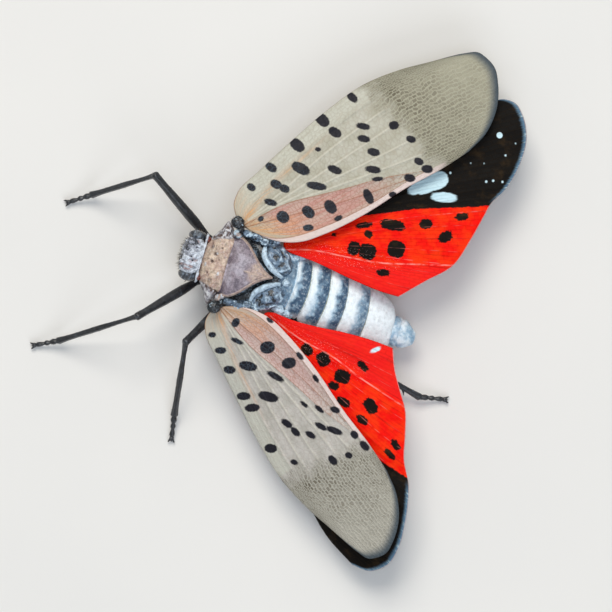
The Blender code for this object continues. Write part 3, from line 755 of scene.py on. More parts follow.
@dataclass(frozen=True)
class ShellFinish:
    """Hard shell: a mottled ground with dark, pale and warm marks, fine grain and powdery wax."""

    name: str
    ground: Colour
    mottle: Colour
    dark: Colour
    pale: Colour
    warm: Colour
    warm_mottle: Colour
    mottle_size: float = 0.5
    grain_size: float = 0.12
    grain_depth: float = 0.03
    pits: float = 0.4
    speckle: float = 0.25
    speckle_size: float = 0.12
    powder: float = 0.0
    powder_size: float = 0.5
    ragged: float = 0.5
    soft: float = 0.3
    deep: float = 1.0
    shade: float = 0.45
    roughness: tuple[float, float] = (0.4, 0.65)
    coat: float = 0.0

    def material(self) -> bpy.types.Material:
        """The material, whose marks are the mesh's values dark, pale and warm."""
        material, bench, shader = new_material(self.name)
        place = bench.place()
        grain = bench.use(EFFECTS.grain, Place=place, Size=1 / self.grain_size, Pits=self.pits).outputs
        mottle = bench.step(bench.noise(place, 1 / self.mottle_size, 4.0, 0.6), 0.38, 0.64)
        colour = bench.blend(mottle, self.ground, self.mottle)
        warm = bench.blend(mottle, self.warm, self.warm_mottle)
        # On the head and the thorax part of the pale marks is painted highlight and part of the dark marks painted
        # shade; on the back plate part of the dark marks is painted shadow
        for mark, shade in (("warm", warm), ("dark", self.dark), ("pale", self.pale)):
            depth = bench.minus(bench.value(mark), 0.5)
            edge = bench.use(EFFECTS.ragged, Place=place, Depth=depth, Size=1.2 / self.mottle_size,
                             Ragged=self.ragged, Soft=self.soft).outputs[0]
            colour = bench.blend(edge, colour, shade)
        fine = bench.noise(place, 1 / self.speckle_size, 2.0, 0.6)
        light = bench.times(bench.step(fine, 0.52, 0.68), self.speckle)
        deep = bench.times(bench.step(fine, 0.48, 0.32), self.speckle * self.deep)
        colour = bench.blend(deep, bench.blend(light, colour, self.pale), self.dark)
        powder = bench.use(EFFECTS.powder, Place=place, Amount=self.powder,
                           Size=1 / self.powder_size).outputs[0]
        colour = bench.blend(bench.times(powder, 0.75), colour, self.pale)
        colour = bench.blend(self.shade, colour, bench.step(grain["Light"], 0.25, 0.6), "MULTIPLY")
        smooth_part, rough_part = self.roughness
        spread = bench.times(grain["Light"], rough_part - smooth_part)
        matt = bench.plus(bench.plus(spread, smooth_part), bench.times(powder, 0.2))
        height = bench.plus(grain["Height"], bench.times(powder, 0.5))
        bench.feed(shader, {
            "Base Color": colour,
            "Roughness": matt,
            "Normal": bench.bump(height, self.grain_depth),
            "Coat Weight": self.coat,
            "Coat Roughness": 0.22,
        })
        return material


@dataclass(frozen=True)
class ForewingFinish:
    """The leathery forewing: greyish tan with dark spots, and a net of small dark blocks near its tip."""

    name: str = "spotted_forewing"
    tan: Colour = tone(184, 182, 168)
    sand: Colour = tone(170, 167, 150)
    pink: Colour = tone(200, 150, 140)
    rose: Colour = tone(184, 128, 118)
    cream: Colour = tone(194, 194, 180)
    orange: Colour = tone(220, 158, 96)
    vein: Colour = tone(206, 202, 186)
    line: Colour = tone(150, 98, 70)
    strip: Colour = tone(226, 206, 200)
    net_pale: Colour = tone(172, 169, 148)
    net_block: Colour = tone(92, 84, 66)
    net_haze: Colour = tone(148, 144, 124)
    rim: Colour = tone(76, 86, 92)
    spot: Colour = tone(24, 23, 32)
    spot_fleck: Colour = tone(70, 86, 98)

    def material(self) -> bpy.types.Material:
        """The material, which reads the forewing's values."""
        material, bench, shader = new_material(self.name)
        place = bench.vector("place")
        cloud = bench.noise(place, 1.3, 4.0, 0.6)
        streak = bench.noise(bench.scaled(place, (0.3, 5.0, 1.0)), 1.0, 3.0, 0.6)
        colour = bench.blend(bench.step(cloud, 0.35, 0.68), self.tan, self.sand)
        lobe = bench.ragged(place, bench.value("clavus"), 2.0, 0.1, 0.06)
        blush = bench.blend(bench.step(streak, 0.35, 0.65), self.pink, self.rose)
        colour = bench.blend(bench.times(lobe, bench.value("blush")), colour, blush)
        costal = bench.ragged(place, bench.value("costa"), 2.0, 0.2, 0.12)
        colour = bench.blend(bench.times(costal, 0.8), colour, self.cream)
        colour = bench.blend(bench.times(bench.step(streak, 0.6, 0.38), 0.35), colour, self.sand)
        warmth = bench.times(bench.value("glow"), bench.step(streak, 0.3, 0.75))
        colour = bench.blend(warmth, colour, self.orange)

        fine = bench.cells(place, 3.4, "DISTANCE_TO_EDGE")
        veinlet = bench.step(fine, 0.085, 0.015)
        ink_line = bench.plus(bench.times(lobe, 0.3), 0.1)
        colour = bench.blend(bench.times(veinlet, ink_line), colour, self.line)
        veins = bench.step(bench.value("veins"), 0.1, 0.03)
        colour = bench.blend(bench.times(veins, 0.55), colour, self.vein)
        band = bench.step(bench.value("strip"), -0.03, 0.04)
        colour = bench.blend(bench.times(band, 0.8), colour, self.strip)
        seam = bench.step(bench.value("seams"), 0.055, 0.015)
        broken = bench.step(bench.noise(place, 1.7), 0.25, 0.5)
        colour = bench.blend(bench.times(bench.times(seam, broken), 0.75), colour, self.line)

        net = bench.use(EFFECTS.net, Place=place, Length=0.3, Width=0.17, Line=0.042, Wander=0.4).outputs
        netted = bench.ragged(place, bench.value("net"), 0.9, 2.4, 0.75)
        patchy = bench.step(bench.noise(place, 0.5, 3.0, 0.6), 0.3, 0.7)
        block = bench.blend(bench.times(net["Cell"], 0.8), self.net_block, self.net_haze)
        strong = bench.plus(bench.step(bench.value("net"), 6.0, 0.5), bench.times(patchy, 0.4))
        block_share = bench.times(bench.step(net["Line"], 0.75, 0.15), bench.plus(0.25, strong))
        ground = bench.blend(bench.times(strong, 0.35), self.net_pale, self.net_haze)
        blocks = bench.blend(bench.times(block_share, 0.6), ground, block)
        near = bench.plus(0.55, bench.times(netted, 0.4))
        colour = bench.blend(bench.times(netted, near), colour, blocks)
        rim = bench.step(bench.value("rim"), 0.9, 0.1)
        colour = bench.blend(bench.times(rim, netted), colour, self.rim)

        spots = bench.ragged(place, bench.value("spots"), 7.0, 0.1, 0.04)
        fleck = bench.times(bench.step(fine, 0.08, 0.01), bench.value("flecks"))
        spot = bench.blend(bench.times(fleck, 0.6), self.spot, self.spot_fleck)
        colour = bench.blend(spots, colour, spot)

        netted_line = bench.times(net["Line"], netted)
        relief = bench.plus(bench.times(veinlet, 0.4), netted_line)
        relief = bench.plus(relief, bench.times(streak, 0.5))
        rough = bench.plus(0.46, bench.times(cloud, 0.22))
        bench.feed(shader, {
            "Base Color": colour,
            "Roughness": rough,
            "Normal": bench.bump(relief, 0.035),
            "Specular IOR Level": 0.25,
        })
        return material


@dataclass(frozen=True)
class HindwingFinish:
    """The thin hindwing: red with black spots, then black with white patches and a bluish rim."""

    name: str = "red_hindwing"
    red: Colour = tone(240, 14, 2)
    orange: Colour = tone(250, 52, 8)
    rose: Colour = tone(238, 30, 26)
    fold: Colour = tone(252, 150, 140)
    black: Colour = tone(16, 13, 10)
    brown: Colour = tone(64, 48, 28)
    white: Colour = tone(204, 232, 240)
    white_vein: Colour = tone(160, 196, 208)
    rim: Colour = tone(96, 128, 152)
    dust: Colour = tone(250, 222, 218)

    def material(self) -> bpy.types.Material:
        """The material, which reads the hindwing's values."""
        material, bench, shader = new_material(self.name)
        place = bench.vector("place")
        cloud = bench.noise(place, 0.9, 4.0, 0.6)
        streak = bench.noise(bench.scaled(place, (0.25, 4.0, 1.0)), 1.0, 3.0, 0.6)
        colour = bench.blend(bench.step(cloud, 0.38, 0.66), self.red, self.orange)
        inner = bench.step(bench.value("fold"), -0.2, 0.5)
        colour = bench.blend(bench.times(inner, 0.8), colour, self.rose)
        shade = bench.step(streak, 0.25, 0.5)
        colour = bench.blend(0.3, colour, shade, "MULTIPLY")
        net = bench.use(EFFECTS.net, Place=place, Length=0.7, Width=0.3, Line=0.022, Wander=0.25).outputs
        veins = bench.times(bench.step(bench.value("veins"), 0.06, 0.01),
                           bench.step(bench.noise(place, 1.1), 0.42, 0.62))
        crease = bench.step(bench.math("ABSOLUTE", bench.value("fold")), 0.08, 0.02)
        crease = bench.times(crease, bench.step(bench.noise(place, 1.6), 0.32, 0.6))
        grit = bench.step(bench.cells(place, 7.0), 0.16, 0.09)
        grit = bench.times(grit, bench.value("dust"))

        ink = bench.blend(bench.times(bench.step(cloud, 0.5, 0.75), 0.5), self.black, self.brown)
        blocks = bench.times(bench.step(net["Line"], 0.2, 0.9), bench.step(net["Cell"], 0.3, 0.9))
        ink = bench.blend(bench.times(blocks, 0.6), ink, self.brown)
        dark = bench.ragged(place, bench.value("black"), 3.0, 0.2, 0.04)
        colour = bench.blend(dark, colour, ink)
        spots = bench.ragged(place, bench.value("spots"), 5.0, 0.25, 0.03)
        colour = bench.blend(spots, colour, ink)
        inked = bench.minus(1.0, dark)
        colour = bench.blend(bench.times(veins, bench.times(inked, 0.4)), colour, self.fold)
        colour = bench.blend(bench.times(crease, bench.times(inked, 0.8)), colour, self.fold)
        colour = bench.blend(grit, colour, self.dust)
        white = bench.ragged(place, bench.value("white"), 3.0, 0.12, 0.05)
        snow = bench.blend(bench.times(bench.step(streak, 0.55, 0.35), 0.5), self.white, self.white_vein)
        colour = bench.blend(white, colour, snow)
        colour = bench.blend(bench.step(bench.value("dots"), -0.04, 0.03), colour, self.white)

        ray = bench.noise(bench.scaled(place, (0.6, 11.0, 1.0)), 1.0, 2.0)
        ragged_rim = bench.plus(bench.value("rim"), bench.times(ray, 0.35))
        edge = bench.times(bench.step(ragged_rim, 0.56, 0.24), bench.step(bench.value("black"), 0.1, 1.0))
        pale = bench.blend(bench.step(ray, 0.5, 0.7), self.rim, self.white)
        colour = bench.blend(bench.times(edge, 0.85), colour, pale)
        thin = bench.step(bench.value("rim"), 0.08, 0.02)
        colour = bench.blend(bench.times(thin, 0.5), colour, self.dust)

        relief = bench.plus(bench.times(streak, 0.7), bench.times(net["Line"], 0.6))
        relief = bench.plus(relief, bench.times(bench.noise(place, 5.0), 0.4))
        rough = bench.plus(0.42, bench.times(cloud, 0.25))
        bench.feed(shader, {
            "Base Color": colour,
            "Roughness": rough,
            "Normal": bench.bump(relief, 0.03),
            "Specular IOR Level": 0.07,
        })
        return material


@dataclass(frozen=True)
class EyeFinish:
    """A dark blue-grey eye with pale streaks and fine facets."""

    name: str = "streaked_eye"
    dark: Colour = tone(34, 40, 50)
    streak: Colour = tone(128, 142, 156)
    facet_size: float = 0.045

    def material(self) -> bpy.types.Material:
        """The material of both eyes."""
        material, bench, shader = new_material(self.name)
        place = bench.place()
        streak = bench.noise(bench.scaled(place, (1.6, 5.0, 1.0)), 1.0, 3.0, 0.6)
        colour = bench.blend(bench.step(streak, 0.46, 0.64), self.dark, self.streak)
        facet = bench.cells(place, 1 / self.facet_size)
        colour = bench.blend(bench.times(bench.step(facet, 0.3, 0.6), 0.4), colour, self.dark)
        bench.feed(shader, {
            "Base Color": colour,
            "Normal": bench.bump(bench.step(facet, 0.7, 0.1), 0.012),
            "Roughness": bench.plus(0.2, bench.times(streak, 0.25)),
            "Coat Weight": 0.5,
            "Coat Roughness": 0.1,
        })
        return material


@dataclass(frozen=True)
class BristleFinish:
    """Bristles that are dark at the root and paler towards the tip."""

    name: str
    root: Colour
    tip: Colour

    def material(self) -> bpy.types.Material:
        """The material, which reads how far along its bristle a point is."""
        material, bench, shader = new_material(self.name)
        along = bench.add("ShaderNodeSeparateXYZ", {0: bench.vector("tuft")}).outputs[2]
        varied = bench.plus(along, bench.minus(bench.noise(bench.place(), 3.0), 0.5))
        bench.feed(shader, {
            "Base Color": bench.blend(bench.step(varied, 0.2, 1.0), self.root, self.tip),
            "Roughness": bench.step(varied, -0.6, 1.6),
        })
        return material


class Half(Enum):
    """A side of the insect, with the sign of its X."""

    LEFT = 1
    RIGHT = -1

    @property
    def label(self) -> str:
        """The side's name as the CAD nodes have it."""
        return self.name.lower()


@dataclass(frozen=True)
class WingPose:
    """How one side's wings are held: angles in degrees, hinges with X outwards."""

    fore_sweep: float
    fore_width: float
    slope: float
    droop: float
    hind_hinge: tuple[float, float]
    hind_sweep: float
    fore_hinge: tuple[float, float] = (3.2, 0.0)
    crest: float = 6.9
    crest_back: float = 3.0
    crest_round: float = 1.2
    root_slope: float = 0.37
    twist_length: float = 8.0
    stack: float = 1.15

    def height(self, plan: Array) -> Array:
        """Height of the forewing's middle surface.

        Args:
            plan: Plan points with X outwards.

        Returns:
            Their heights above the floor.
        """
        offset = plan - np.array(self.fore_hinge)
        c, n = cosine_sine(self.fore_sweep)
        along = offset[..., 0] * c + offset[..., 1] * n
        ahead = offset[..., 0] * n - offset[..., 1] * c
        fall = self.crest_round * np.logaddexp(0,
                                               (ahead + self.crest_back * self.fore_width) / self.crest_round)
        root_fall = self.crest_round * np.logaddexp(0, (ahead + self.crest_back) / self.crest_round)
        twist = smooth(along / self.twist_length, 0, 1)
        drop = self.root_slope * root_fall * (1 - twist) + self.slope * fall * twist
        return self.crest - self.droop * np.maximum(along, 0) - drop


POSES = {
    Half.LEFT: WingPose(
        fore_sweep=47.7, fore_width=0.82, slope=0.62, droop=0.05, hind_hinge=(2.6, 3.4), hind_sweep=36.8,
    ),
    Half.RIGHT: WingPose(
        fore_sweep=38.7, fore_width=1.0, slope=0.3, droop=0.1, hind_hinge=(2.4, 3.4), hind_sweep=41.3,
    ),
}


def from_hinge(chart: Array, hinge: Point, sweep: float) -> Array:
    """Where places on a wing lie in the plan.

    Args:
        chart: How far each place is along the wing and towards its leading edge.
        hinge: The wing's hinge, with X outwards.
        sweep: The angle in degrees that the wing points back.

    Returns:
        Plan points with X outwards.
    """
    c, n = cosine_sine(sweep)
    along, ahead = chart[..., 0], chart[..., 1]
    return np.stack([hinge[0] + along * c + ahead * n, hinge[1] + along * n - ahead * c], axis=-1)


def as_seen(points: Array) -> Array:
    """Where the camera shows points on a plan drawn at the back's height.

    Args:
        points: Points in space.

    Returns:
        The plan points.
    """
    scale = CAMERA_RISE / (CAMERA_RISE + BACK_HEIGHT - points[..., 2:])
    return CAMERA_PLACE + scale * (points[..., :2] - CAMERA_PLACE)


@dataclass
class Wing:
    """A wing as one thin curved sheet, laid out between four edge curves."""

    half: Half
    base: tuple[Point, ...]
    margin: tuple[Point, ...]
    trail: tuple[Point, ...]
    lead: tuple[Point, ...]
    rows: int = 270
    columns: int = 120
    membrane: float = 0.17
    root_thickness: float = 0.62
    root_length: float = 0.1
    edge_round: float = 0.09
    root_density: float = 1.12
    map_length: float = 22.0

    def __post_init__(self) -> None:
        """Lays the grid of places on the wing."""
        share = (np.arange(self.rows + 1) / self.rows) **self.root_density
        self.s, self.t = np.meshgrid(share, np.linspace(0, 1, self.columns + 1), indexing="ij")
        edges = (self.base, self.margin, self.trail, self.lead)
        base, margin, trail, lead = (curve_through(edge) for edge in edges)
        s, t = self.s[..., None], self.t[..., None]
        along = trail(self.s) * (1 - t) + lead(self.s) * t
        across = base(self.t) * (1 - s) + margin(self.t) * s
        near = base(np.zeros(1)) * (1 - t) + base(np.ones(1)) * t
        far = margin(np.zeros(1)) * (1 - t) + margin(np.ones(1)) * t
        self.chart = along + across - near * (1 - s) - far * s
        self.width = np.linalg.norm(self.chart[:, -1:] - self.chart[:, :1], axis=2)
        self.length = np.linalg.norm(self.chart[-1:] - self.chart[:1], axis=2)
        self.pose = POSES[self.half]

    def lanes(self) -> Array:
        """Places for patterns: millimetres along the wing, and across it as wide as at the margin."""
        return np.stack([self.s * self.length, self.t * self.width[-1, 0], 0 * self.s], axis=-1)

    def vein_gap(self, lines: Sequence[Sequence[Point]]) -> Array:
        """How far each place is from the nearest of some lines on the wing's chart.

        Args:
            lines: Each line's points.

        Returns:
            The distances.
        """
        flat = self.chart.reshape(-1, 2)
        gaps = [line_gap(flat, dense(line))[0] for line in lines]
        return np.min(gaps, axis=0).reshape(self.s.shape)

    def sheet(self, middle: Array, relief: Array, values: dict[str, Array]) -> Shell:
        """The wing's closed surface.

        Args:
            middle: The points of its middle surface, with X outwards.
            relief: How far its veins stand out on both faces.
            values: Values at its points, by name.

        Returns:
            The surface on its own side of the insect.
        """
        edge = np.minimum.reduce([
            self.t * self.width, (1 - self.t) * self.width, (1 - self.s) * self.length, self.s * self.length,
        ])
        thin = self.membrane + (self.root_thickness - self.membrane) * smooth(self.s, self.root_length, 0.0)
        half_thick = (thin / 2 + relief) * (1 - np.exp(-edge / self.edge_round))
        lift = np.stack([0 * edge, 0 * edge, half_thick], axis=-1)
        chart = (self.chart - self.chart.reshape(-1, 2).min(axis=0)) / self.map_length + 0.02
        shell = sheet_shell(middle + lift, middle - lift, values, chart)
        if self.half is Half.RIGHT:
            shell = shell.mirrored()
        return shell


FOREWING_BASE = ((0.15, -0.87), (-0.05, -0.35), (-0.15, 0.1))
FOREWING_MARGIN = (
    (16.0, -5.2), (17.7, -4.87), (19.45, -3.8), (20.45, -2.55), (20.98, -1.35), (20.9, -0.45),
    (20.7, 0.12), (19.8, 0.7), (18.85, 1.1), (17.7, 1.5),
)
FOREWING_TRAIL = (
    (0.15, -0.87), (0.78, -1.94), (1.4, -2.7), (2.66, -3.6), (4.3, -4.1), (7.2, -4.57), (11.0, -4.78),
    (13.6, -5.1), (16.0, -5.2),
)
FOREWING_LEAD = (
    (-0.15, 0.1), (-0.02, 0.7), (0.3, 1.35), (0.95, 1.85), (3.1, 2.25), (6.5, 2.7), (9.5, 3.0),
    (12.7, 3.0), (15.5, 2.35), (17.7, 1.5),
)

# Each spot as the camera shows it: its middle, width, length and the angle that its length turns outwards
FOREWING_SPOTS: dict[Half, tuple[Mark, ...]] = {
    Half.RIGHT: (
        (5.75, 0.01, 0.5, 0.66, -24), (7.48, 0.97, 0.58, 0.9, -19), (9.5, 2.3, 0.78, 1.18, -25),
        (11.7, 3.5, 0.78, 1.2, -28), (11.1, 4.6, 0.65, 1.0, -15), (13.8, 5.1, 0.55, 0.9, -27),
        (6.43, 1.63, 0.62, 0.85, -12), (6.3, 2.28, 0.56, 0.76, -8), (5.1, 1.61, 0.46, 0.96, 0),
        (3.79, 1.27, 0.36, 0.44, 60), (7.98, 2.99, 0.76, 1.4, -12), (9.61, 3.79, 0.32, 0.44, 0),
        (7.1, 4.4, 0.56, 1.46, 6), (4.35, 2.73, 0.82, 0.94, -23), (8.56, 5.31, 0.54, 1.08, -6),
        (5.18, 4.35, 0.73, 1.03, -27), (4.1, 4.65, 0.48, 0.76, 20), (5.96, 5.75, 0.77, 1.06, -37),
        (5.34, 6.5, 0.38, 0.62, 41), (12.05, 6.4, 0.46, 1.02, 5), (11.22, 6.68, 0.5, 0.92, 5),
        (10.51, 7.61, 0.56, 0.9, 4), (9.31, 7.91, 0.52, 1.12, 8), (8.76, 8.41, 0.32, 0.86, 20),
        (7.39, 8.12, 0.62, 1.15, -48), (12.71, 8.45, 0.62, 0.72, 27), (12.1, 9.88, 0.48, 0.72, -3),
        (8.0, 9.72, 0.4, 0.55, 20), (9.45, 10.55, 0.56, 0.8, 4), (10.75, 10.85, 0.5, 0.72, -10),
        (10.4, 11.55, 0.58, 0.82, 10),
    ),
    Half.LEFT: (
        (5.0, 0.23, 0.39, 0.56, -17), (5.9, 1.1, 0.48, 0.8, -15), (7.03, 2.08, 0.56, 0.87, -10),
        (8.54, 3.55, 0.57, 0.98, -16), (9.16, 4.36, 0.58, 1.06, -21), (11.55, 6.4, 0.64, 0.88, -10),
        (3.72, 1.58, 0.52, 0.68, -73), (4.94, 2.04, 0.33, 0.95, 9), (6.42, 3.27, 0.66, 1.31, -4),
        (4.78, 4.22, 0.87, 1.06, -26), (2.9, 3.85, 0.3, 0.56, 22), (6.59, 5.32, 0.44, 1.36, 13),
        (8.1, 5.23, 0.68, 1.47, 0), (5.43, 5.97, 0.78, 1.02, -29), (4.73, 6.57, 0.34, 0.68, 34),
        (9.55, 7.0, 0.46, 0.9, 20), (9.95, 7.75, 0.45, 0.82, 28), (9.86, 8.83, 0.42, 0.82, 17),
        (7.92, 7.81, 0.27, 0.68, 21), (7.94, 8.92, 0.32, 0.79, 23), (9.09, 9.38, 0.4, 0.97, 13),
        (9.11, 10.35, 0.46, 1.25, 5), (5.95, 8.09, 0.32, 0.66, 37), (7.69, 10.01, 0.44, 0.72, 4),
        (11.15, 10.83, 0.5, 0.8, 34), (10.5, 11.81, 0.44, 0.55, 4), (12.03, 8.26, 0.36, 0.55, 7),
        (9.0, 11.8, 0.5, 0.65, 30), (9.55, 12.7, 0.5, 0.85, 30),
    ),
}


@dataclass
class Forewing(Wing):
    """The spotted forewing, which lies over the hindwing."""

    base: tuple[Point, ...] = FOREWING_BASE
    margin: tuple[Point, ...] = FOREWING_MARGIN
    trail: tuple[Point, ...] = FOREWING_TRAIL
    lead: tuple[Point, ...] = FOREWING_LEAD
    costal_vein: tuple[Point, ...] = ((-0.2, -0.2), (0.9, 0.35), (2.4, 0.8), (5.9, 1.4), (8.8, 1.7),
                                      (12.5, 1.75))
    claval_seam: tuple[Point, ...] = ((0.0, -0.3), (3.4, -0.8), (5.5, -1.6), (7.7, -2.45), (9.2, -2.95),
                                      (13.0, -4.7))
    claval_vein: tuple[Point, ...] = ((0.1, -0.5), (2.9, -1.55), (6.0, -2.75), (9.1, -3.7), (11.5, -4.4))
    middle_veins: tuple[tuple[Point, ...], ...] = (
        ((0.5, -0.15), (3.5, 0.1), (7.5, 0.55), (12.8, 0.7)),
        ((0.5, -0.2), (3.5, -0.35), (7.0, -0.45), (12.8, -0.6)),
        ((2.2, -0.4), (5.0, -0.9), (8.5, -1.5), (13.2, -2.2)),
        ((4.5, -1.1), (8.0, -2.1), (13.4, -3.5)),
    )
    net_start: tuple[Point, ...] = ((12.4, 4.5), (12.8, 2.5), (13.1, -0.9), (13.5, -3.2), (13.8, -6.5))
    strip_width: float = 0.58
    vein_height: float = 0.07
    vein_reach: float = 0.1
    costa_end: float = 12.5
    strip_end: float = 14.5
    rib_spacing: float = 0.46
    rib_height: float = 0.018
    strip_height: float = 0.03
    cockle: float = 0.05
    claval_hollow: float = 0.1

    def build(self, material: bpy.types.Material) -> None:
        """Builds the wing and adds it in place of its CAD node."""
        plan = from_hinge(self.chart * (1, self.pose.fore_width), self.pose.fore_hinge, self.pose.fore_sweep)
        height = self.pose.height(plan)
        middle = np.concatenate([plan, height[..., None]], axis=-1)
        flat = self.chart.reshape(-1, 2)
        lanes = self.lanes()

        def signed(line: Sequence[Point]) -> Array:
            """How far each place is to the left of a line on the chart."""
            gap, side = line_gap(flat, dense(line))
            return (gap * side).reshape(self.s.shape)

        along = self.chart[..., 0]
        strip = self.strip_width * smooth(along, -0.5, 3.5) - self.t * self.width
        pale_veins = self.vein_gap(self.middle_veins)
        costal_gap = self.vein_gap([self.costal_vein])
        seams = self.vein_gap([self.claval_seam, self.claval_vein])
        veins = np.minimum.reduce([pale_veins, costal_gap, seams])
        fade = smooth(along, 16.5, 12.0)
        claval_base = smooth(along, 5.4, 1.6) * smooth(signed(self.claval_vein), 0.5, -0.4)
        costal_glow = hump(signed(self.costal_vein) + 0.16, 0.22) * smooth(along, 10.0, 3.0)
        seen = as_seen(middle).reshape(-1, 2)
        values = {
            "place": lanes,
            "spots": marks_depth(seen, FOREWING_SPOTS[self.half]).reshape(self.s.shape),
            "flecks": smooth(along, 7.5, 3.5),
            "clavus": np.minimum(-signed(self.claval_seam), self.t * self.width - self.strip_width),
            "blush": smooth(along, 0.8, 2.5) * smooth(along, 12.5, 6.5) * 0.9,
            "costa": np.where(along < self.costa_end, signed(self.costal_vein), -1.0),
            "strip": np.where(along < self.strip_end, strip, -1.0),
            "seams": np.minimum.reduce([
                seams + 0.2 * (1 - fade), np.abs(strip) + 0.2 * (along > 13) + 0.2 * (1 - fade),
                (1 - self.t) * self.width + 0.08 * smooth(along, 1.0, 4.5),
            ]),
            "net": signed(self.net_start),
            "rim": np.minimum((1 - self.s) * self.length, 3 * (1 - self.t) * self.width + 1),
            "glow": np.clip(0.65 * costal_glow + 0.8 * claval_base + 0.5 * smooth(along, 2.0, 0.3), 0, 0.9),
            "veins": pale_veins + (1 - fade) * 0.2,
        }
        lane_share = lanes[..., 1] / self.rib_spacing
        ribs = np.abs(lane_share - np.round(lane_share)) * self.rib_spacing
        relief = self.vein_height * hump(veins, self.vein_reach) * fade
        relief += self.rib_height * hump(ribs, 0.08) * smooth(self.chart[..., 0], 1.0, 4.0)
        relief += self.strip_height * hump(strip, 0.08)
        level = np.stack([lanes[..., 0], lanes[..., 1], 0 * height], -1)
        middle[..., 2] += self.cockle * GRAIN.layered(level, 3.2)
        middle[..., 2] -= self.claval_hollow * np.sin(np.clip(values["clavus"] / 1.6, 0, 1) * math.pi) * fade
        shell = self.sheet(middle, relief, values)
        name = f"forewing_{self.half.label}"
        add_piece(f"{name}_sheet", mesh_of(name, shell, "OFBake"), material, "forewing", name)


HINDWING_BASE = ((0.1, -0.65), (-0.1, -0.1), (0.2, 0.45))
HINDWING_EDGES: dict[Half, tuple[tuple[Point, ...], ...]] = {
    Half.LEFT: (
        (
            (5.42, -7.61), (6.92, -7.19), (8.37, -7.02), (9.83, -6.88), (11.48, -6.26), (13.11, -5.55),
            (14.88, -5.22), (16.19, -4.67), (17.45, -3.97), (18.81, -2.99), (19.72, -1.81), (19.74, -0.48),
            (18.91, 0.53),
        ),
        ((0.1, -0.65), (1.0, -1.6), (2.03, -3.01), (3.2, -4.83), (4.52, -6.59), (5.42, -7.61)),
        ((0.2, 0.45), (2.0, 1.25), (5.0, 1.9), (9.0, 2.15), (13.4, 1.95), (16.4, 1.5), (18.91, 0.53)),
    ),
    Half.RIGHT: (
        (
            (4.84, -7.35), (7.0, -7.45), (9.3, -7.58), (11.4, -6.7), (13.1, -5.8), (13.95, -5.35),
            (15.2, -5.1), (17.1, -4.17), (18.6, -2.8), (19.25, -1.3), (19.3, -0.3), (18.7, 0.45), (18.0, 0.7),
        ),
        ((0.1, -0.65), (1.07, -1.9), (2.7, -4.5), (4.1, -6.5), (4.84, -7.35)),
        ((0.2, 0.45), (2.0, 1.25), (5.0, 1.9), (9.0, 2.15), (13.4, 1.72), (16.0, 1.25), (18.0, 0.7)),
    ),
}

# Marks on the hindwings, given as the forewings' spots are
HINDWING_SPOTS: dict[Half, tuple[Mark, ...]] = {
    Half.RIGHT: (
        (5.38, 8.37, 0.4, 1.2, 24), (4.86, 8.85, 0.5, 0.64, -20), (3.6, 8.14, 1.0, 0.84, 0),
        (3.65, 9.13, 1.1, 1.22, 0), (5.94, 10.31, 0.76, 1.74, 7), (4.39, 11.03, 1.2, 1.22, 0),
        (2.53, 10.59, 0.5, 0.92, 10), (6.67, 12.54, 0.68, 0.9, 19), (6.17, 14.11, 0.72, 1.06, 47),
        (7.84, 14.83, 0.52, 0.98, 22), (4.16, 6.52, 0.22, 0.34, 10),
    ),
    Half.LEFT: (
        (4.16, 6.93, 0.72, 0.92, 31), (4.49, 8.22, 0.92, 1.04, 49), (5.3, 9.85, 0.96, 1.15, 0),
        (6.1, 9.45, 0.55, 0.75, 0), (7.0, 10.41, 0.6, 1.02, 14), (4.18, 11.03, 0.46, 0.96, 29),
        (6.75, 12.34, 0.84, 1.18, 40), (7.85, 12.04, 0.54, 0.92, 21), (8.89, 14.8, 0.48, 0.86, 39),
        (9.63, 14.57, 0.42, 1.02, 31),
    ),
}
WHITE_PATCHES: dict[Half, tuple[Mark, ...]] = {
    Half.RIGHT: (
        (9.78, 12.4, 1.25, 1.75, 39), (9.4, 11.9, 1.15, 2.3, 39), (9.1, 11.5, 0.85, 2.0, 39),
        (8.82, 13.25, 0.7, 1.8, 12), (9.4, 8.7, 1.6, 3.0, 45),
    ),
    Half.LEFT: (
        (10.8, 11.0, 1.36, 3.1, 43), (10.1, 12.2, 0.8, 2.05, 20), (10.3, 7.6, 1.6, 3.0, 47),
        (2.84, 11.58, 0.3, 0.75, -41),
    ),
}
WHITE_DOTS: dict[Half, tuple[Mark, ...]] = {
    Half.RIGHT: (
        (14.1, 15.8, 0.42, 0.42, 0), (10.7, 15.8, 0.17, 0.17, 0), (10.9, 16.25, 0.17, 0.17, 0),
        (12.85, 16.6, 0.15, 0.15, 0), (13.85, 17.05, 0.12, 0.12, 0), (10.6, 13.2, 0.16, 0.16, 0),
        (11.0, 16.9, 0.16, 0.16, 0), (11.65, 14.4, 0.1, 0.1, 0), (11.9, 15.3, 0.1, 0.1, 0),
    ),
    Half.LEFT: ((15.0, 14.2, 0.3, 0.3, 0), (12.4, 14.6, 0.17, 0.17, 0), (13.1, 15.2, 0.17, 0.17, 0)),
}
HINDWING_FOLDS: dict[Half, tuple[Point, ...]] = {
    Half.RIGHT: ((2.2, 3.6), (2.6, 5.0), (2.9, 8.0), (3.1, 10.0), (3.7, 12.5), (4.6, 16.0)),
    Half.LEFT: ((2.6, 3.8), (3.5, 6.0), (4.2, 9.0), (5.0, 11.0), (5.7, 13.2), (6.6, 16.0)),
}

# Where the red ends and the black begins, from the wing's leading edge back to its margin
BLACK_START: dict[Half, tuple[Point, ...]] = {
    Half.RIGHT: (
        (11.5, 4.6), (8.73, 6.04), (6.94, 6.72), (6.15, 7.4), (6.02, 8.12), (6.6, 9.56), (7.39, 11.35),
        (8.02, 13.18), (8.4, 14.41), (9.13, 16.5), (9.6, 18.0),
    ),
    Half.LEFT: (
        (11.8, 4.2), (9.2, 5.4), (7.5, 6.2), (6.85, 6.9), (6.86, 7.5), (8.1, 9.64), (9.3, 12.15), (9.9, 13.3),
        (10.3, 14.2), (10.8, 15.9), (11.3, 17.6),
    ),
}


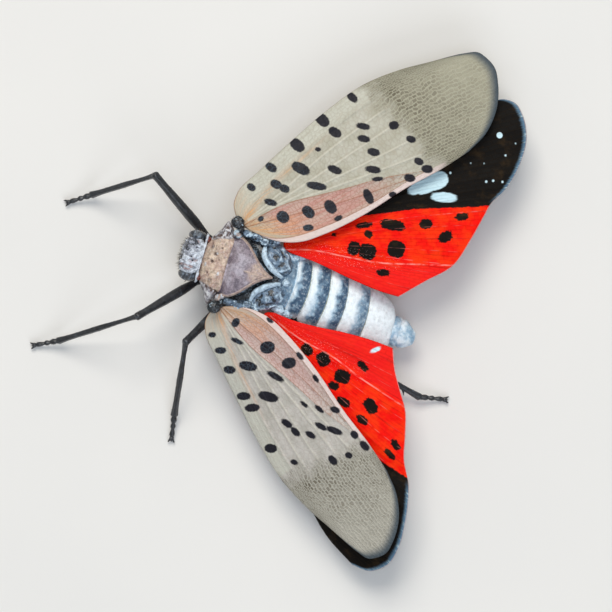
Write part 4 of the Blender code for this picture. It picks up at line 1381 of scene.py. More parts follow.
@dataclass
class Hindwing(Wing):
    """The red and black hindwing, which lies under the forewing."""

    base: tuple[Point, ...] = HINDWING_BASE
    margin: tuple[Point, ...] = ()
    trail: tuple[Point, ...] = ()
    lead: tuple[Point, ...] = ()
    columns: int = 150
    membrane: float = 0.12
    lift: float = 0.12
    vein_spacing: float = 0.9
    vein_height: float = 0.035
    fold_depth: float = 0.14
    fold_width: float = 1.2
    crease_height: float = 0.04
    wave_height: float = 0.05

    def __post_init__(self) -> None:
        """Takes this side's outline and lays the grid."""
        self.margin, self.trail, self.lead = HINDWING_EDGES[self.half]
        super().__post_init__()

    def build(self, material: bpy.types.Material) -> None:
        """Builds the wing and adds it in place of its CAD node."""
        plan = from_hinge(self.chart, self.pose.hind_hinge, self.pose.hind_sweep)
        height = self.pose.height(plan) - self.pose.stack + self.lift * smooth(self.s, 0.0, 0.15)
        middle = np.concatenate([plan, height[..., None]], axis=-1)
        seen = as_seen(middle).reshape(-1, 2)
        shape = self.s.shape
        gap, side = line_gap(seen, np.array(BLACK_START[self.half]))
        fold_gap, fold_side = line_gap(seen, dense(HINDWING_FOLDS[self.half]))
        fold = (fold_gap * fold_side).reshape(shape)
        lanes = self.lanes()
        lane = lanes[..., 1] / self.vein_spacing
        ribs = np.abs(lane - np.round(lane)) * self.vein_spacing
        values = {
            "place": lanes,
            "spots": marks_depth(seen, HINDWING_SPOTS[self.half], 2.8).reshape(shape),
            "black": -(gap * side).reshape(shape),
            "white": marks_depth(seen, WHITE_PATCHES[self.half]).reshape(shape),
            "dots": marks_depth(seen, WHITE_DOTS[self.half], 2.0).reshape(shape),
            "fold": fold,
            "veins": ribs + 0.1 * smooth(self.s, 0.25, 0.1),
            "rim": (1 - self.s) * self.length,
            "dust": hump(np.abs(fold) - 0.3, 0.4) * smooth(self.chart[..., 0], 8.0, 3.0),
        }
        relief = self.vein_height * hump(ribs, 0.09) * smooth(self.s, 0.05, 0.25)
        relief += self.crease_height * hump(fold, 0.12)
        valley = np.cos(np.clip(fold / self.fold_width, -1, 1) * math.pi / 2) ** 2
        middle[..., 2] -= self.fold_depth * valley * self.s
        middle[..., 2] += self.wave_height * np.sin(lanes[..., 1] * 2.1) * smooth(self.s, 0.1, 0.6)
        middle[..., 2] += self.wave_height * GRAIN.layered(lanes + 20.0, 2.4)
        name = f"hindwing_{self.half.label}"
        add_piece(f"{name}_sheet", mesh_of(name, self.sheet(middle, relief, values), "OFBake"), material,
                  "hindwing", name)


def oval_ring(
    angles: Array, half_width: Array, rise: Array, drop: Array, power: float,
) -> tuple[Array, Array]:
    """Points round an oval that is squarer than an ellipse.

    Args:
        angles: The angles round it.
        half_width: How far it reaches to the side.
        rise: How far its top is above its widest place.
        drop: How far its bottom is below its widest place.
        power: 2 for an ellipse, more for a squarer shape.

    Returns:
        How far each point is to the side and up.
    """
    c, n = np.cos(angles), np.sin(angles)
    reach = (np.abs(c) ** power + np.abs(n) ** power) ** (-1 / power)
    return half_width * reach * c, np.where(n > 0, rise, drop) * reach * n


def body_hull(sections: Sequence[Point], span: Point, grid: tuple[int, int], power: float) -> Hull:
    """A skin through upright cross-sections of the body.

    Args:
        sections: Rows of Y, half width, top, widest height and bottom.
        span: The Y of the first ring and of the last one.
        grid: How many rings it has, and how many points a ring has.
        power: How square the sections are.

    Returns:
        The skin.
    """
    table = np.array(sections)
    y = np.linspace(*span, grid[0])
    width, top, middle, low = curve_through(table[:, 1:], table[:, 0])(y).T[..., None]
    angles = round_angles(grid[1])[None]
    side, up = oval_ring(angles, width, top - middle, middle - low, power)
    return Hull(np.stack([side, np.broadcast_to(y[:, None], side.shape), middle + up], axis=-1))


def ball(centre: Point, radii: Point, turn: float = 0.0, rows: int = 22, count: int = 32,
         rough: float = 0.0) -> Hull:
    """An egg-shaped skin with its poles up and down.

    Args:
        centre: Its middle.
        radii: Its three half sizes.
        turn: How far it is turned about the vertical, in degrees.
        rows: How many rings it has.
        count: How many points a ring has.
        rough: How uneven it is.

    Returns:
        The skin.
    """
    unit = ball_places(rows, count)
    swell = 1 + rough * GRAIN.layered(unit * 1.7 + np.array(centre), 0.7)
    grown = unit * swell[..., None] * np.array(radii)
    c, n = cosine_sine(turn)
    turned = np.stack([grown[..., 0] * c - grown[..., 1] * n, grown[..., 0] * n + grown[..., 1] * c,
                       grown[..., 2]], -1)
    return Hull(turned + np.array(centre))


def ball_places(rows: int, count: int) -> Array:
    """The points of a ball of radius 1, in rings from its lower to its upper pole."""
    lifts = np.linspace(-1.5, 1.5, rows)
    angles = round_angles(count)
    lift, angle = np.meshgrid(lifts, angles, indexing="ij")
    return np.stack([np.cos(lift) * np.cos(angle), np.cos(lift) * np.sin(angle), np.sin(lift)], axis=-1)


def tube(route: Sequence[Point], radii: Sequence[float], rows: int = 24, count: int = 14,
         corners: float = 0.0) -> Hull:
    """A skin round a route.

    Args:
        route: Points along it.
        radii: Its radius at each point.
        rows: How many rings it has.
        count: How many points a ring has.
        corners: How far its four long edges stand out, as a share of the radius.

    Returns:
        The skin.
    """
    share = np.linspace(0, 1, rows)
    knots = np.column_stack([np.array(route, float), radii])
    steps = np.linalg.norm(np.diff(knots[:, :3], axis=0), axis=1)
    at = np.concatenate([[0.0], np.cumsum(steps)]) / steps.sum()
    line = curve_through(knots, at)(share)
    middle, radius = line[:, :3], line[:, 3]
    ahead = np.gradient(middle, axis=0)
    ahead /= np.linalg.norm(ahead, axis=1, keepdims=True)
    up = np.cross(ahead, (0.31, 0.17, 0.94))
    up /= np.linalg.norm(up, axis=1, keepdims=True)
    other = np.cross(ahead, up)
    angles = round_angles(count)
    reach = radius[:, None] * (1 + corners * np.cos(4 * angles)[None])
    round_it = up[:, None] * np.cos(angles)[None, :, None] + other[:, None] * np.sin(angles)[None, :, None]
    return Hull(middle[:, None] + round_it * reach[..., None])


def over_caps(value: Array | float, shape: tuple[int, int]) -> Array:
    """A value at a skin's points, where the rings of its caps take what its end rings have."""
    if not np.ndim(value):
        return np.full(shape, value)
    steps = (shape[0] - len(value)) // 2
    return np.pad(value, ((steps, steps), (0, 0)), mode="edge")


PLAIN = {"dark": 0.0, "pale": 0.0, "warm": 0.0, "coat": 0.0}


def plain_shell(hull: Hull, **values: Array) -> Shell:
    """A skin's surface with values for its marks, and none where they aren't given.

    Args:
        hull: The skin.
        **values: Marks at its points, by name, with or without its caps, and how its bristles lean.

    Returns:
        The surface.
    """
    marks = {name: over_caps(values.get(name, usual), hull.rings.shape[:2]) for name, usual in PLAIN.items()}
    lie = values.get("lie", np.broadcast_to((0.0, 1.0, 0.0), hull.rings.shape))
    return hull.shell(**marks, lie=lie)


@dataclass
class BristleCoat:
    """Bristles that Geometry Nodes grow on a skin where its value coat is above 0."""

    name: str
    density: float
    length: float
    radius: float
    lean: float = 0.4
    spread: float = 0.5
    curl: float = 0.25
    seed: int = 3
    patch: float = 0.003

    @staticmethod
    def tree() -> bpy.types.NodeTree:
        """The node tree: points on the skin, a curved spike on each, made real and given its finish."""
        tree = bpy.data.node_groups.new("bristle coat", "GeometryNodeTree")
        sockets = tree.interface
        sockets.new_socket("Geometry", in_out="INPUT", socket_type="NodeSocketGeometry")
        for label in ("Density", "Length", "Radius", "Lean", "Spread", "Curl", "Patch"):
            sockets.new_socket(label, in_out="INPUT", socket_type="NodeSocketFloat")
        sockets.new_socket("Seed", in_out="INPUT", socket_type="NodeSocketInt")
        sockets.new_socket("Finish", in_out="INPUT", socket_type="NodeSocketMaterial")
        sockets.new_socket("Geometry", in_out="OUTPUT", socket_type="NodeSocketGeometry")
        bench = Bench(tree)
        given = tree.nodes.new("NodeGroupInput").outputs

        def named(label: str, kind: str) -> bpy.types.NodeSocket:
            """What the skin holds under this name."""
            return bench.add("GeometryNodeInputNamedAttribute", {"Name": label}, data_type=kind).outputs[0]

        def stretched(vector: Feed, by: Feed) -> bpy.types.NodeSocket:
            """A vector made longer or shorter."""
            return bench.add("ShaderNodeVectorMath", {0: vector, "Scale": by}, operation="SCALE").outputs[0]

        def added(a: Feed, b: Feed) -> bpy.types.NodeSocket:
            """The sum of two vectors."""
            return bench.add("ShaderNodeVectorMath", {0: a, 1: b}, operation="ADD").outputs[0]

        spike = bench.add("GeometryNodeMeshCone", {
            "Vertices": 5, "Side Segments": 4, "Radius Top": 0.0, "Radius Bottom": given["Radius"],
            "Depth": given["Length"],
        }).outputs["Mesh"]
        here = bench.add("GeometryNodeInputPosition", {}).outputs[0]
        tuft = bench.add("ShaderNodeVectorMath", {0: here, 1: bench.add("ShaderNodeCombineXYZ", {
            0: given["Length"], 1: given["Length"], 2: given["Length"]}).outputs[0]},
            operation="DIVIDE").outputs[0]
        spike = bench.add("GeometryNodeStoreNamedAttribute",
                          {"Geometry": spike, "Name": "tuft", "Value": tuft},
                          data_type="FLOAT_VECTOR", domain="POINT").outputs[0]
        height = bench.add("ShaderNodeSeparateXYZ", {0: named("tuft", "FLOAT_VECTOR")}).outputs[2]
        bend = bench.times(bench.times(height, height), given["Curl"])
        bend = bench.times(bend, given["Length"])
        offset = bench.add("ShaderNodeCombineXYZ", {0: bend}).outputs[0]
        spike = bench.add("GeometryNodeSetPosition", {"Geometry": spike, "Offset": offset}).outputs[0]

        density = bench.times(named("coat", "FLOAT"), given["Density"])
        grown = bench.add("GeometryNodeDistributePointsOnFaces",
                          {"Mesh": given["Geometry"], "Seed": given["Seed"]})
        tree.links.new(density, grown.inputs["Density"])
        lie = named("lie", "FLOAT_VECTOR")
        loose = bench.add("FunctionNodeRandomValue", {0: (-1.0,) * 3, 1: (1.0,) * 3, "Seed": given["Seed"]},
                          data_type="FLOAT_VECTOR").outputs[0]
        way = added(added(grown.outputs["Normal"], stretched(lie, given["Lean"])),
                    stretched(loose, given["Spread"]))
        upright = bench.add("FunctionNodeAlignRotationToVector", {"Vector": way}, axis="Z").outputs[0]
        turned = bench.add("FunctionNodeAlignRotationToVector", {"Rotation": upright, "Vector": lie},
                           axis="X", pivot_axis="Z").outputs[0]
        size = bench.add("FunctionNodeRandomValue", {2: 0.55, 3: 1.15, "Seed": given["Seed"]},
                         data_type="FLOAT").outputs[1]
        placed = bench.add("GeometryNodeInstanceOnPoints", {
            "Points": grown.outputs["Points"], "Instance": spike, "Rotation": turned, "Scale": size,
        }).outputs[0]
        real = bench.add("GeometryNodeRealizeInstances", {"Geometry": placed}).outputs[0]
        real = bench.add("GeometryNodeSetMaterial",
                         {"Geometry": real, "Material": given["Finish"]}).outputs[0]
        corner = added(named("skin_map", "FLOAT_VECTOR"),
                       stretched(named("tuft", "FLOAT_VECTOR"), given["Patch"]))
        real = bench.add("GeometryNodeStoreNamedAttribute",
                         {"Geometry": real, "Name": "OFBake", "Value": corner},
                         data_type="FLOAT2", domain="CORNER").outputs[0]
        bench.add("NodeGroupOutput", {"Geometry": real})
        return tree

    def build(self, tree: bpy.types.NodeTree, skin: Shell, finish: bpy.types.Material, slot: str) -> None:
        """Grows the coat on a skin and adds it as one piece.

        Args:
            tree: The bristle tree.
            skin: The surface, whose values coat and lie steer the bristles.
            finish: The bristles' material.
            slot: The record's material slot.
        """
        grower = bpy.data.objects.new(self.name, mesh_of(f"{self.name}_skin", skin, "skin_map"))
        bpy.context.scene.collection.objects.link(grower)
        modifier = grower.modifiers.new("coat", "NODES")
        modifier.node_group = tree
        inputs = {
            "Density": self.density / MM**2, "Length": self.length * MM, "Radius": self.radius * MM,
            "Lean": self.lean, "Spread": self.spread, "Curl": self.curl, "Patch": self.patch,
            "Seed": self.seed, "Finish": finish,
        }
        for item in tree.interface.items_tree:
            if item.in_out == "INPUT" and item.name in inputs:
                modifier[item.identifier] = inputs[item.name]
        graph = bpy.context.evaluated_depsgraph_get()
        mesh = bpy.data.meshes.new_from_object(grower.evaluated_get(graph))
        skin_mesh = grower.data
        bpy.data.objects.remove(grower)
        bpy.data.meshes.remove(skin_mesh)
        for leftover in ("skin_map", "coat", "lie", "dark", "pale", "warm"):
            if leftover in mesh.attributes:
                mesh.attributes.remove(mesh.attributes[leftover])
        mesh.name = self.name
        mesh.shade_smooth()
        add_piece(self.name, mesh, finish, slot)


@dataclass
class Collar:
    """The shell behind the head: a tan disc between speckled grey lobes, with small pits and cream flecks."""

    sections: tuple[Point, ...] = (
        (-1.92, 1.15, 5.9, 4.9, 3.7), (-1.8, 1.45, 6.1, 4.9, 3.3), (-1.55, 1.8, 6.36, 5.0, 2.95),
        (-1.2, 2.35, 6.52, 5.1, 2.8), (-0.85, 3.0, 6.66, 5.15, 2.7), (-0.6, 2.9, 6.7, 5.15, 2.65),
        (-0.35, 2.5, 6.74, 5.1, 2.7), (-0.08, 2.14, 6.74, 5.0, 2.8),
    )
    power: float = 2.8
    rear_hollow: float = 0.16
    hollow_reach: float = 2.1
    span: tuple[float, float] = (-1.9, -0.1)
    grid: tuple[int, int] = (100, 240)
    keel_height: float = 0.05
    pit_depth: float = 0.13
    seam_depth: float = 0.08
    rear_rim: float = 0.05
    boss: Point = (-1.7, -1.09)
    boss_height: float = 0.12
    swell: float = 0.1
    lump_height: float = 0.06
    grit_height: float = 0.018
    lobe_grit: float = 0.05
    cap_rings: int = 6
    cap_bulge: float = 0.12
    pits: tuple[Point, ...] = ((0.02, -1.22), (-0.54, -1.08), (-1.05, -0.72), (0.9, -1.35), (-0.2, -0.75))
    patches: tuple[Mark, ...] = (
        (1.42, -0.98, 0.62, 0.42, 0), (2.0, -0.43, 0.24, 0.24, 0), (-1.05, -1.45, 0.5, 0.25, 0),
        (-1.3, -0.6, 0.3, 0.2, 0),
    )
    flecks: tuple[Mark, ...] = ((-0.6, -0.98, 0.16, 0.2, 0), (0.35, -1.6, 0.3, 0.14, 0),
                                (0.75, -0.55, 0.3, 0.16, 0))

    def build(self, material: bpy.types.Material) -> None:
        """Builds the collar and adds it in place of its CAD node."""
        hull = body_hull(self.sections, self.span, self.grid, self.power)
        x, y, z = np.moveaxis(hull.rings, -1, 0)
        hull.rings[..., 1] -= self.rear_hollow * np.clip(1 - (x / self.hollow_reach) ** 2, 0, 1) * smooth(y,















































































































































































































































































































































































































                                                                                                          -1.0, -0.1)
        above = smooth(z, 5.2, 6.0)
        places = np.stack([x, y], -1).reshape(-1, 2)
        pits = sum(hump(np.hypot(x - a, y - b), 0.075 + 0.03 * (k < 2)) for k, (a, b) in enumerate(self.pits))
        patches = smooth(marks_depth(places, self.patches, 2.0).reshape(x.shape), -0.08, 0.1)
        flecks = smooth(marks_depth(places, self.flecks, 2.0).reshape(x.shape), -0.06, 0.06)
        lobe = smooth(np.abs(x) - 0.3 * (y + 1.0) + 0.15 * (x < 0), 1.66, 1.95)
        seam = hump(np.abs(x) - 1.85 - 0.3 * (y + 1.0), 0.12)
        rear = hump(y + 0.14, 0.1)
        keel = hump(x + 0.15, 0.08) * smooth(y, -1.9, -1.5)
        lumps = GRAIN.layered(hull.rings, 0.5, 4)
        grit = GRAIN.layered(hull.rings, 0.17)
        boss = hump(np.hypot(x - self.boss[0], y - self.boss[1]), 0.2)
        relief = above * (self.keel_height * keel - self.pit_depth * pits - self.seam_depth * seam
                          + self.rear_rim * rear + self.boss_height * boss)
        relief += above * self.swell * hump(np.abs(x) - 1.0, 0.5) * hump(y + 0.7, 0.4)
        relief += above * self.lobe_grit * lobe * grit + self.lump_height * lumps + self.grit_height * grit
        hull = hull.pushed(relief).capped(self.cap_rings, self.cap_bulge)
        below = smooth(z, 5.6, 4.8)
        dark = 0.85 * pits + 0.55 * patches + 0.5 * seam * above + lobe * smooth(grit, 0.0, -0.4) * 0.9
        dark += (1 - lobe) * smooth(lumps, -0.1, -0.5) * 0.35 + 0.7 * below
        pale = lobe * smooth(grit, -0.05, 0.3) + flecks + (1 - lobe) * smooth(lumps, 0.2, 0.6) * 0.55
        pale = pale + 0.25 * rear
        shell = plain_shell(
            hull,
            dark=np.clip(dark, 0, 1),
            pale=np.clip(pale, 0, 1) * (1 - below),
            warm=(1 - lobe * (1 - 0.8 * rear)) * (1 - below),
        )
        add_piece("collar_skin", mesh_of("collar", shell), material, "collar_shell", "prothorax")


@dataclass
class Neck:
    """The dark red skin that shows between the head and the collar."""

    sections: tuple[Point, ...] = (
        (-2.15, 1.25, 5.85, 4.8, 3.3), (-2.0, 1.35, 5.92, 4.8, 3.3), (-1.8, 1.35, 5.98, 4.8, 3.3),
        (-1.65, 1.35, 5.9, 4.8, 3.3),
    )
    corner: Point = (1.36, -1.84, 5.68)
    corner_radii: Point = (0.22, 0.2, 0.24)
    span: tuple[float, float] = (-2.12, -1.66)
    grid: tuple[int, int] = (24, 120)
    power: float = 2.6
    wrinkle: float = 0.03
    corner_rough: float = 0.3

    def build(self, material: bpy.types.Material) -> None:
        """Builds the neck and adds it."""
        hull = body_hull(self.sections, self.span, self.grid, self.power)
        hull = hull.pushed(self.wrinkle * GRAIN.layered(hull.rings, 0.2))
        shells = [plain_shell(hull)]
        for sign in (1, -1):
            lump = ball(np.array(self.corner) * (sign, 1, 1), self.corner_radii, 0, 26, 36, self.corner_rough)
            shells.append(plain_shell(lump, dark=smooth(GRAIN.layered(lump.rings, 0.15, 2), 0.1, 0.5)))
        add_piece("neck", mesh_of("neck", Shell.joined(shells)), material, "thorax_cuticle")


@dataclass
class Head:
    """The head: a low knobbly crown with a raised pale rear rim and a bristly front."""

    levels: tuple[Point, ...] = (
        (2.75, 0.35, -2.75, -2.25), (3.1, 0.62, -2.95, -2.2), (3.8, 0.95, -3.2, -2.12),
        (4.6, 1.2, -3.4, -2.05), (5.3, 1.28, -3.46, -1.98), (5.75, 1.25, -3.42, -1.95),
        (6.0, 1.12, -3.28, -1.96),
    )
    power: float = 3.2
    rim_line: tuple[Point, ...] = (
        (-1.74, -2.04, 5.25), (-1.6, -1.99, 5.62), (-1.1, -1.97, 5.95), (0.0, -1.99, 6.14),
        (1.1, -1.96, 5.95), (1.6, -1.95, 5.62), (1.74, -1.98, 5.25),
    )
    rim_radii: tuple[float, ...] = (0.06, 0.1, 0.09, 0.07, 0.09, 0.1, 0.06)
    pits: tuple[Point, ...] = ((0.35, -2.55), (0.12, -2.72), (-0.62, -2.5), (-0.3, -2.85))
    ring_points: int = 200
    side_rings: int = 70
    crown_rings: int = 44
    crown_rise: float = 0.16
    knob_height: float = 0.13
    grit_height: float = 0.03
    pit_depth: float = 0.12
    rim_height: float = 0.1
    hollow_depth: float = 0.05
    line_relief: float = 0.05
    line_caps: float = 0.8

    def build(self, material: bpy.types.Material) -> Shell:
        """Builds the head and adds it in place of its CAD node."""
        table = np.array(self.levels)
        level = np.linspace(table[0, 0], table[-1, 0], self.side_rings)
        width, front, back = curve_through(table[:, 1:], table[:, 0])(level).T[..., None]
        angles = round_angles(self.ring_points)[None]
        side, along = oval_ring(angles, width, (back - front) / 2, (back - front) / 2, self.power)
        rings = np.stack([side, (front + back) / 2 + along, np.broadcast_to(level[:, None], side.shape)], -1)
        last = rings[-1]
        middle = last.mean(axis=0)
        shares = np.linspace(1, 0.02, self.crown_rings + 1)[1:]
        cap = [middle + (last - middle) * f + np.array((0, 0, self.crown_rise * (1 - f**2))) for f in shares]
        hull = Hull(np.concatenate([rings, cap]))
        x, y, z = np.moveaxis(hull.rings, -1, 0)
        above = smooth(z, 5.4, 5.9)
        pits = sum(hump(np.hypot(x - a, y - b), 0.07) for a, b in self.pits)
        rim = hump(y + 2.02, 0.09) * above
        hollow = hump(y + 2.25, 0.13) * above
        front_side = smooth(y, -2.8, -3.25)
        knobs = GRAIN.layered(hull.rings * np.array((1.3, 0.8, 1.0)), 0.36)
        grit = GRAIN.layered(hull.rings, 0.15)
        relief = self.knob_height * knobs + self.grit_height * grit - self.pit_depth * pits * above
        relief = relief + self.rim_height * rim - self.hollow_depth * hollow
        hull = hull.pushed(relief * smooth(z, 3.0, 4.0))
        # Pale on the knobs' tops is painted highlight, and dark in the low places between the knobs is painted shade
        dark = smooth(knobs, -0.1, -0.5) * 0.8 + pits * above + front_side * smooth(grit, 0.1, -0.2) * 0.6
        pale = smooth(knobs, -0.12, 0.28) * 0.9 * above + 1.3 * rim + 0.4 * smooth(grit, 0.2, 0.5)
        shell = plain_shell(
            hull,
            dark=np.clip(dark + smooth(z, 5.2, 4.2) * 0.4, 0, 1) * (1 - rim),
            pale=np.clip(pale, 0, 1),
            warm=above * smooth(GRAIN.layered(hull.rings + 9, 0.5, 2), 0.15, 0.5) * 0.8 * (1 - rim),
            coat=np.clip(front_side + 0.25 * above, 0, 1) * smooth(z, 4.6, 5.3),
            lie=np.stack([x * 0.5, -np.ones_like(x), 0 * x + 0.2], -1),
        )
        line = tube(self.rim_line, self.rim_radii, 120, 22)
        fleck = GRAIN.layered(line.rings, 0.3)
        line = line.pushed(self.line_relief * fleck).capped(5, self.line_caps)
        edge = plain_shell(line, pale=np.clip(0.75 + fleck, 0, 1), dark=smooth(fleck, -0.3, -0.6))
        whole = Shell.joined([shell, edge])
        add_piece("head_skin", mesh_of("head", whole), material, "head_shell", "head")
        return shell


@dataclass
class Eye:
    """A long oval eye at the side of the head."""

    half: Half
    centre: Point = (1.4, -2.63, 5.12)
    radii: Point = (0.42, 0.7, 0.7)
    relief: float = 0.03
    lie: Point = (1.0, -0.8, 0.1)

    def build(self, material: bpy.types.Material) -> Shell:
        """Builds the eye and adds it in place of its CAD node."""
        sign = np.array((self.half.value, 1, 1))
        hull = ball(np.array(self.centre) * sign, self.radii, rows=48, count=72)
        fleck = GRAIN.layered(hull.rings * np.array((1.0, 0.5, 1.0)), 0.2)
        hull = hull.pushed(self.relief * fleck)
        shell = plain_shell(hull, coat=smooth(hull.rings[..., 2], 5.2, 5.6),
                            lie=np.broadcast_to(np.array(self.lie) * sign, hull.rings.shape))
        add_piece(f"eye_{self.half.label}_ball", mesh_of("eye", shell), material, "eye",
                  f"eye_{self.half.label}")
        return shell


@dataclass
class Antenna:
    """A short antenna: a stalk, a knobbly orange bulb and a thin bristle."""

    half: Half
    root: Point = (1.15, -2.55, 4.0)
    bulb: Point = (1.5, -2.5, 3.78)
    tip: Point = (1.95, -2.75, 3.2)
    stalk_radii: tuple[float, ...] = (0.17, 0.19, 0.16, 0.22)
    bulb_radii: Point = (0.31, 0.31, 0.34)
    bristle_radii: tuple[float, ...] = (0.09, 0.05, 0.015)
    pit_depth: float = 0.03

    def build(self, material: bpy.types.Material) -> None:
        """Builds the antenna and adds it in place of its CAD node."""
        sign = np.array((self.half.value, 1, 1))
        root, bulb, tip = (np.array(p) * sign for p in (self.root, self.bulb, self.tip))
        way = unit_vector(bulb - root)
        stalk = tube([root - way * 0.2, root, root + (bulb - root) * 0.5, bulb - way * 0.15],
                     self.stalk_radii, 20, 24).capped()
        knob = ball(bulb, self.bulb_radii, rows=40, count=56)
        knob = knob.pushed(-self.pit_depth * (GRAIN.at(knob.rings, 0.07) > 0.35))
        end = bulb + (tip - bulb) * 0.3
        bristle = tube([bulb, end, tip], self.bristle_radii, 24, 12).capped(3)
        shell = Shell.joined([plain_shell(stalk), plain_shell(knob), plain_shell(bristle, dark=1.0)])
        name = f"antenna_{self.half.label}"
        add_piece(f"{name}_stalk", mesh_of(name, shell), material, "antenna", name)


@dataclass
class BackPlate:
    """The triangular plate on the back: purple-grey, with a thin tan rim, a tan tail and a faint keel."""

    half_widths: tuple[Point, ...] = (
        (2.1, -0.4), (2.18, 0.05), (2.2, 0.42), (1.93, 0.92), (1.48, 1.42), (0.96, 1.9), (0.52, 2.4),
        (0.22, 2.85), (0.05, 3.22),
    )
    lift: float = 0.52
    thickness: float = 0.5
    rim_width: float = 0.2
    rim_height: float = 0.05
    rim_groove: float = 0.04
    keel_height: float = 0.03
    crease_height: float = 0.035
    grit_height: float = 0.012
    dome_height: float = 0.1
    tuck_depth: float = 0.3
    edge_round: float = 0.1
    grid: int = 150

    def build(self, material: bpy.types.Material, thorax: "Thorax") -> None:
        """Builds the plate and adds it in place of its CAD node.

        Args:
            material: The plate's finish.
            thorax: The thorax that it lies on.
        """
        outline = curve_through(self.half_widths)
        share = np.linspace(0, 1, self.grid + 1)
        along, across = np.meshgrid(share, np.linspace(-1, 1, self.grid + 1), indexing="ij")
        edge = outline(along)
        half, y = edge[..., 0], edge[..., 1]
        x = across * half
        places = np.stack([np.abs(x), y], -1).reshape(-1, 2)
        gap, _ = line_gap(places, outline(np.linspace(0, 1, 50)))
        side = gap.reshape(x.shape)
        base = thorax.top(x, np.maximum(y, 0.3)) + self.lift
        open_part = smooth(y, -0.1, 0.35)
        rim = smooth(side, self.rim_width, self.rim_width * 0.6) * open_part
        keel = hump(x - 0.06 * y, 0.07) * smooth(y, 0.1, 0.6)
        flat = np.stack([x, y, 0 * x], -1)
        creases = GRAIN.layered(flat * np.array((0.7, 1.5, 1.0)), 0.5, 4)
        cloud = GRAIN.layered(flat + 5, 0.85, 4)
        grit = GRAIN.layered(flat + 9, 0.16, 2)
        tuck = self.tuck_depth * smooth(y, 0.3, -0.1)
        dome = self.dome_height * (1 - across**2) * np.sin(np.clip(y / 3.2, 0, 1) * math.pi) ** 0.7
        relief = self.rim_height * rim - self.rim_groove * hump(side - self.rim_width, 0.05) * open_part
        raised = self.keel_height * keel + self.crease_height * creases + self.grit_height * grit
        relief += raised - tuck + dome
        round_edge = 1 - np.exp(-np.minimum(side, y + 0.42) / self.edge_round)
        lift = self.thickness / 2 * round_edge
        top, bottom = (np.stack([x, y, base + relief + way * lift], -1) for way in (1, -1))
        tail = smooth(y + 0.5 * cloud - 0.1 * np.abs(x), 1.1, 2.1)
        front_corner = smooth(np.abs(x) - y, 1.2, 2.0)
        values = {
            # The dark strip along the plate's front edge, where it tucks under the collar, is painted shadow of the
            # collar
            "dark": np.clip(smooth(cloud, 0.0, 0.45) * 0.6 + 0.5 * front_corner + 0.6 * hump(y + 0.1, 0.2), 0,
                            1)
            * (1 - tail) * (1 - rim),
            "pale": np.clip(smooth(cloud, -0.05, -0.45) * 0.85 * (1 - tail) + 0.4 * tail * (grit > 0.3), 0,
                            1) * (1 - rim),
            "warm": np.clip(rim + tail + 0.6 * keel, 0, 1),
        }
        chart = np.stack([(x + 2.3) / 4.6, (y + 0.4) / 7.4], -1) * 0.96 + 0.01
        shell = sheet_shell(top, bottom, values, chart)
        add_piece("back_plate", mesh_of("back_plate", shell, "OFBake"), material, "back_plate", "scutellum")


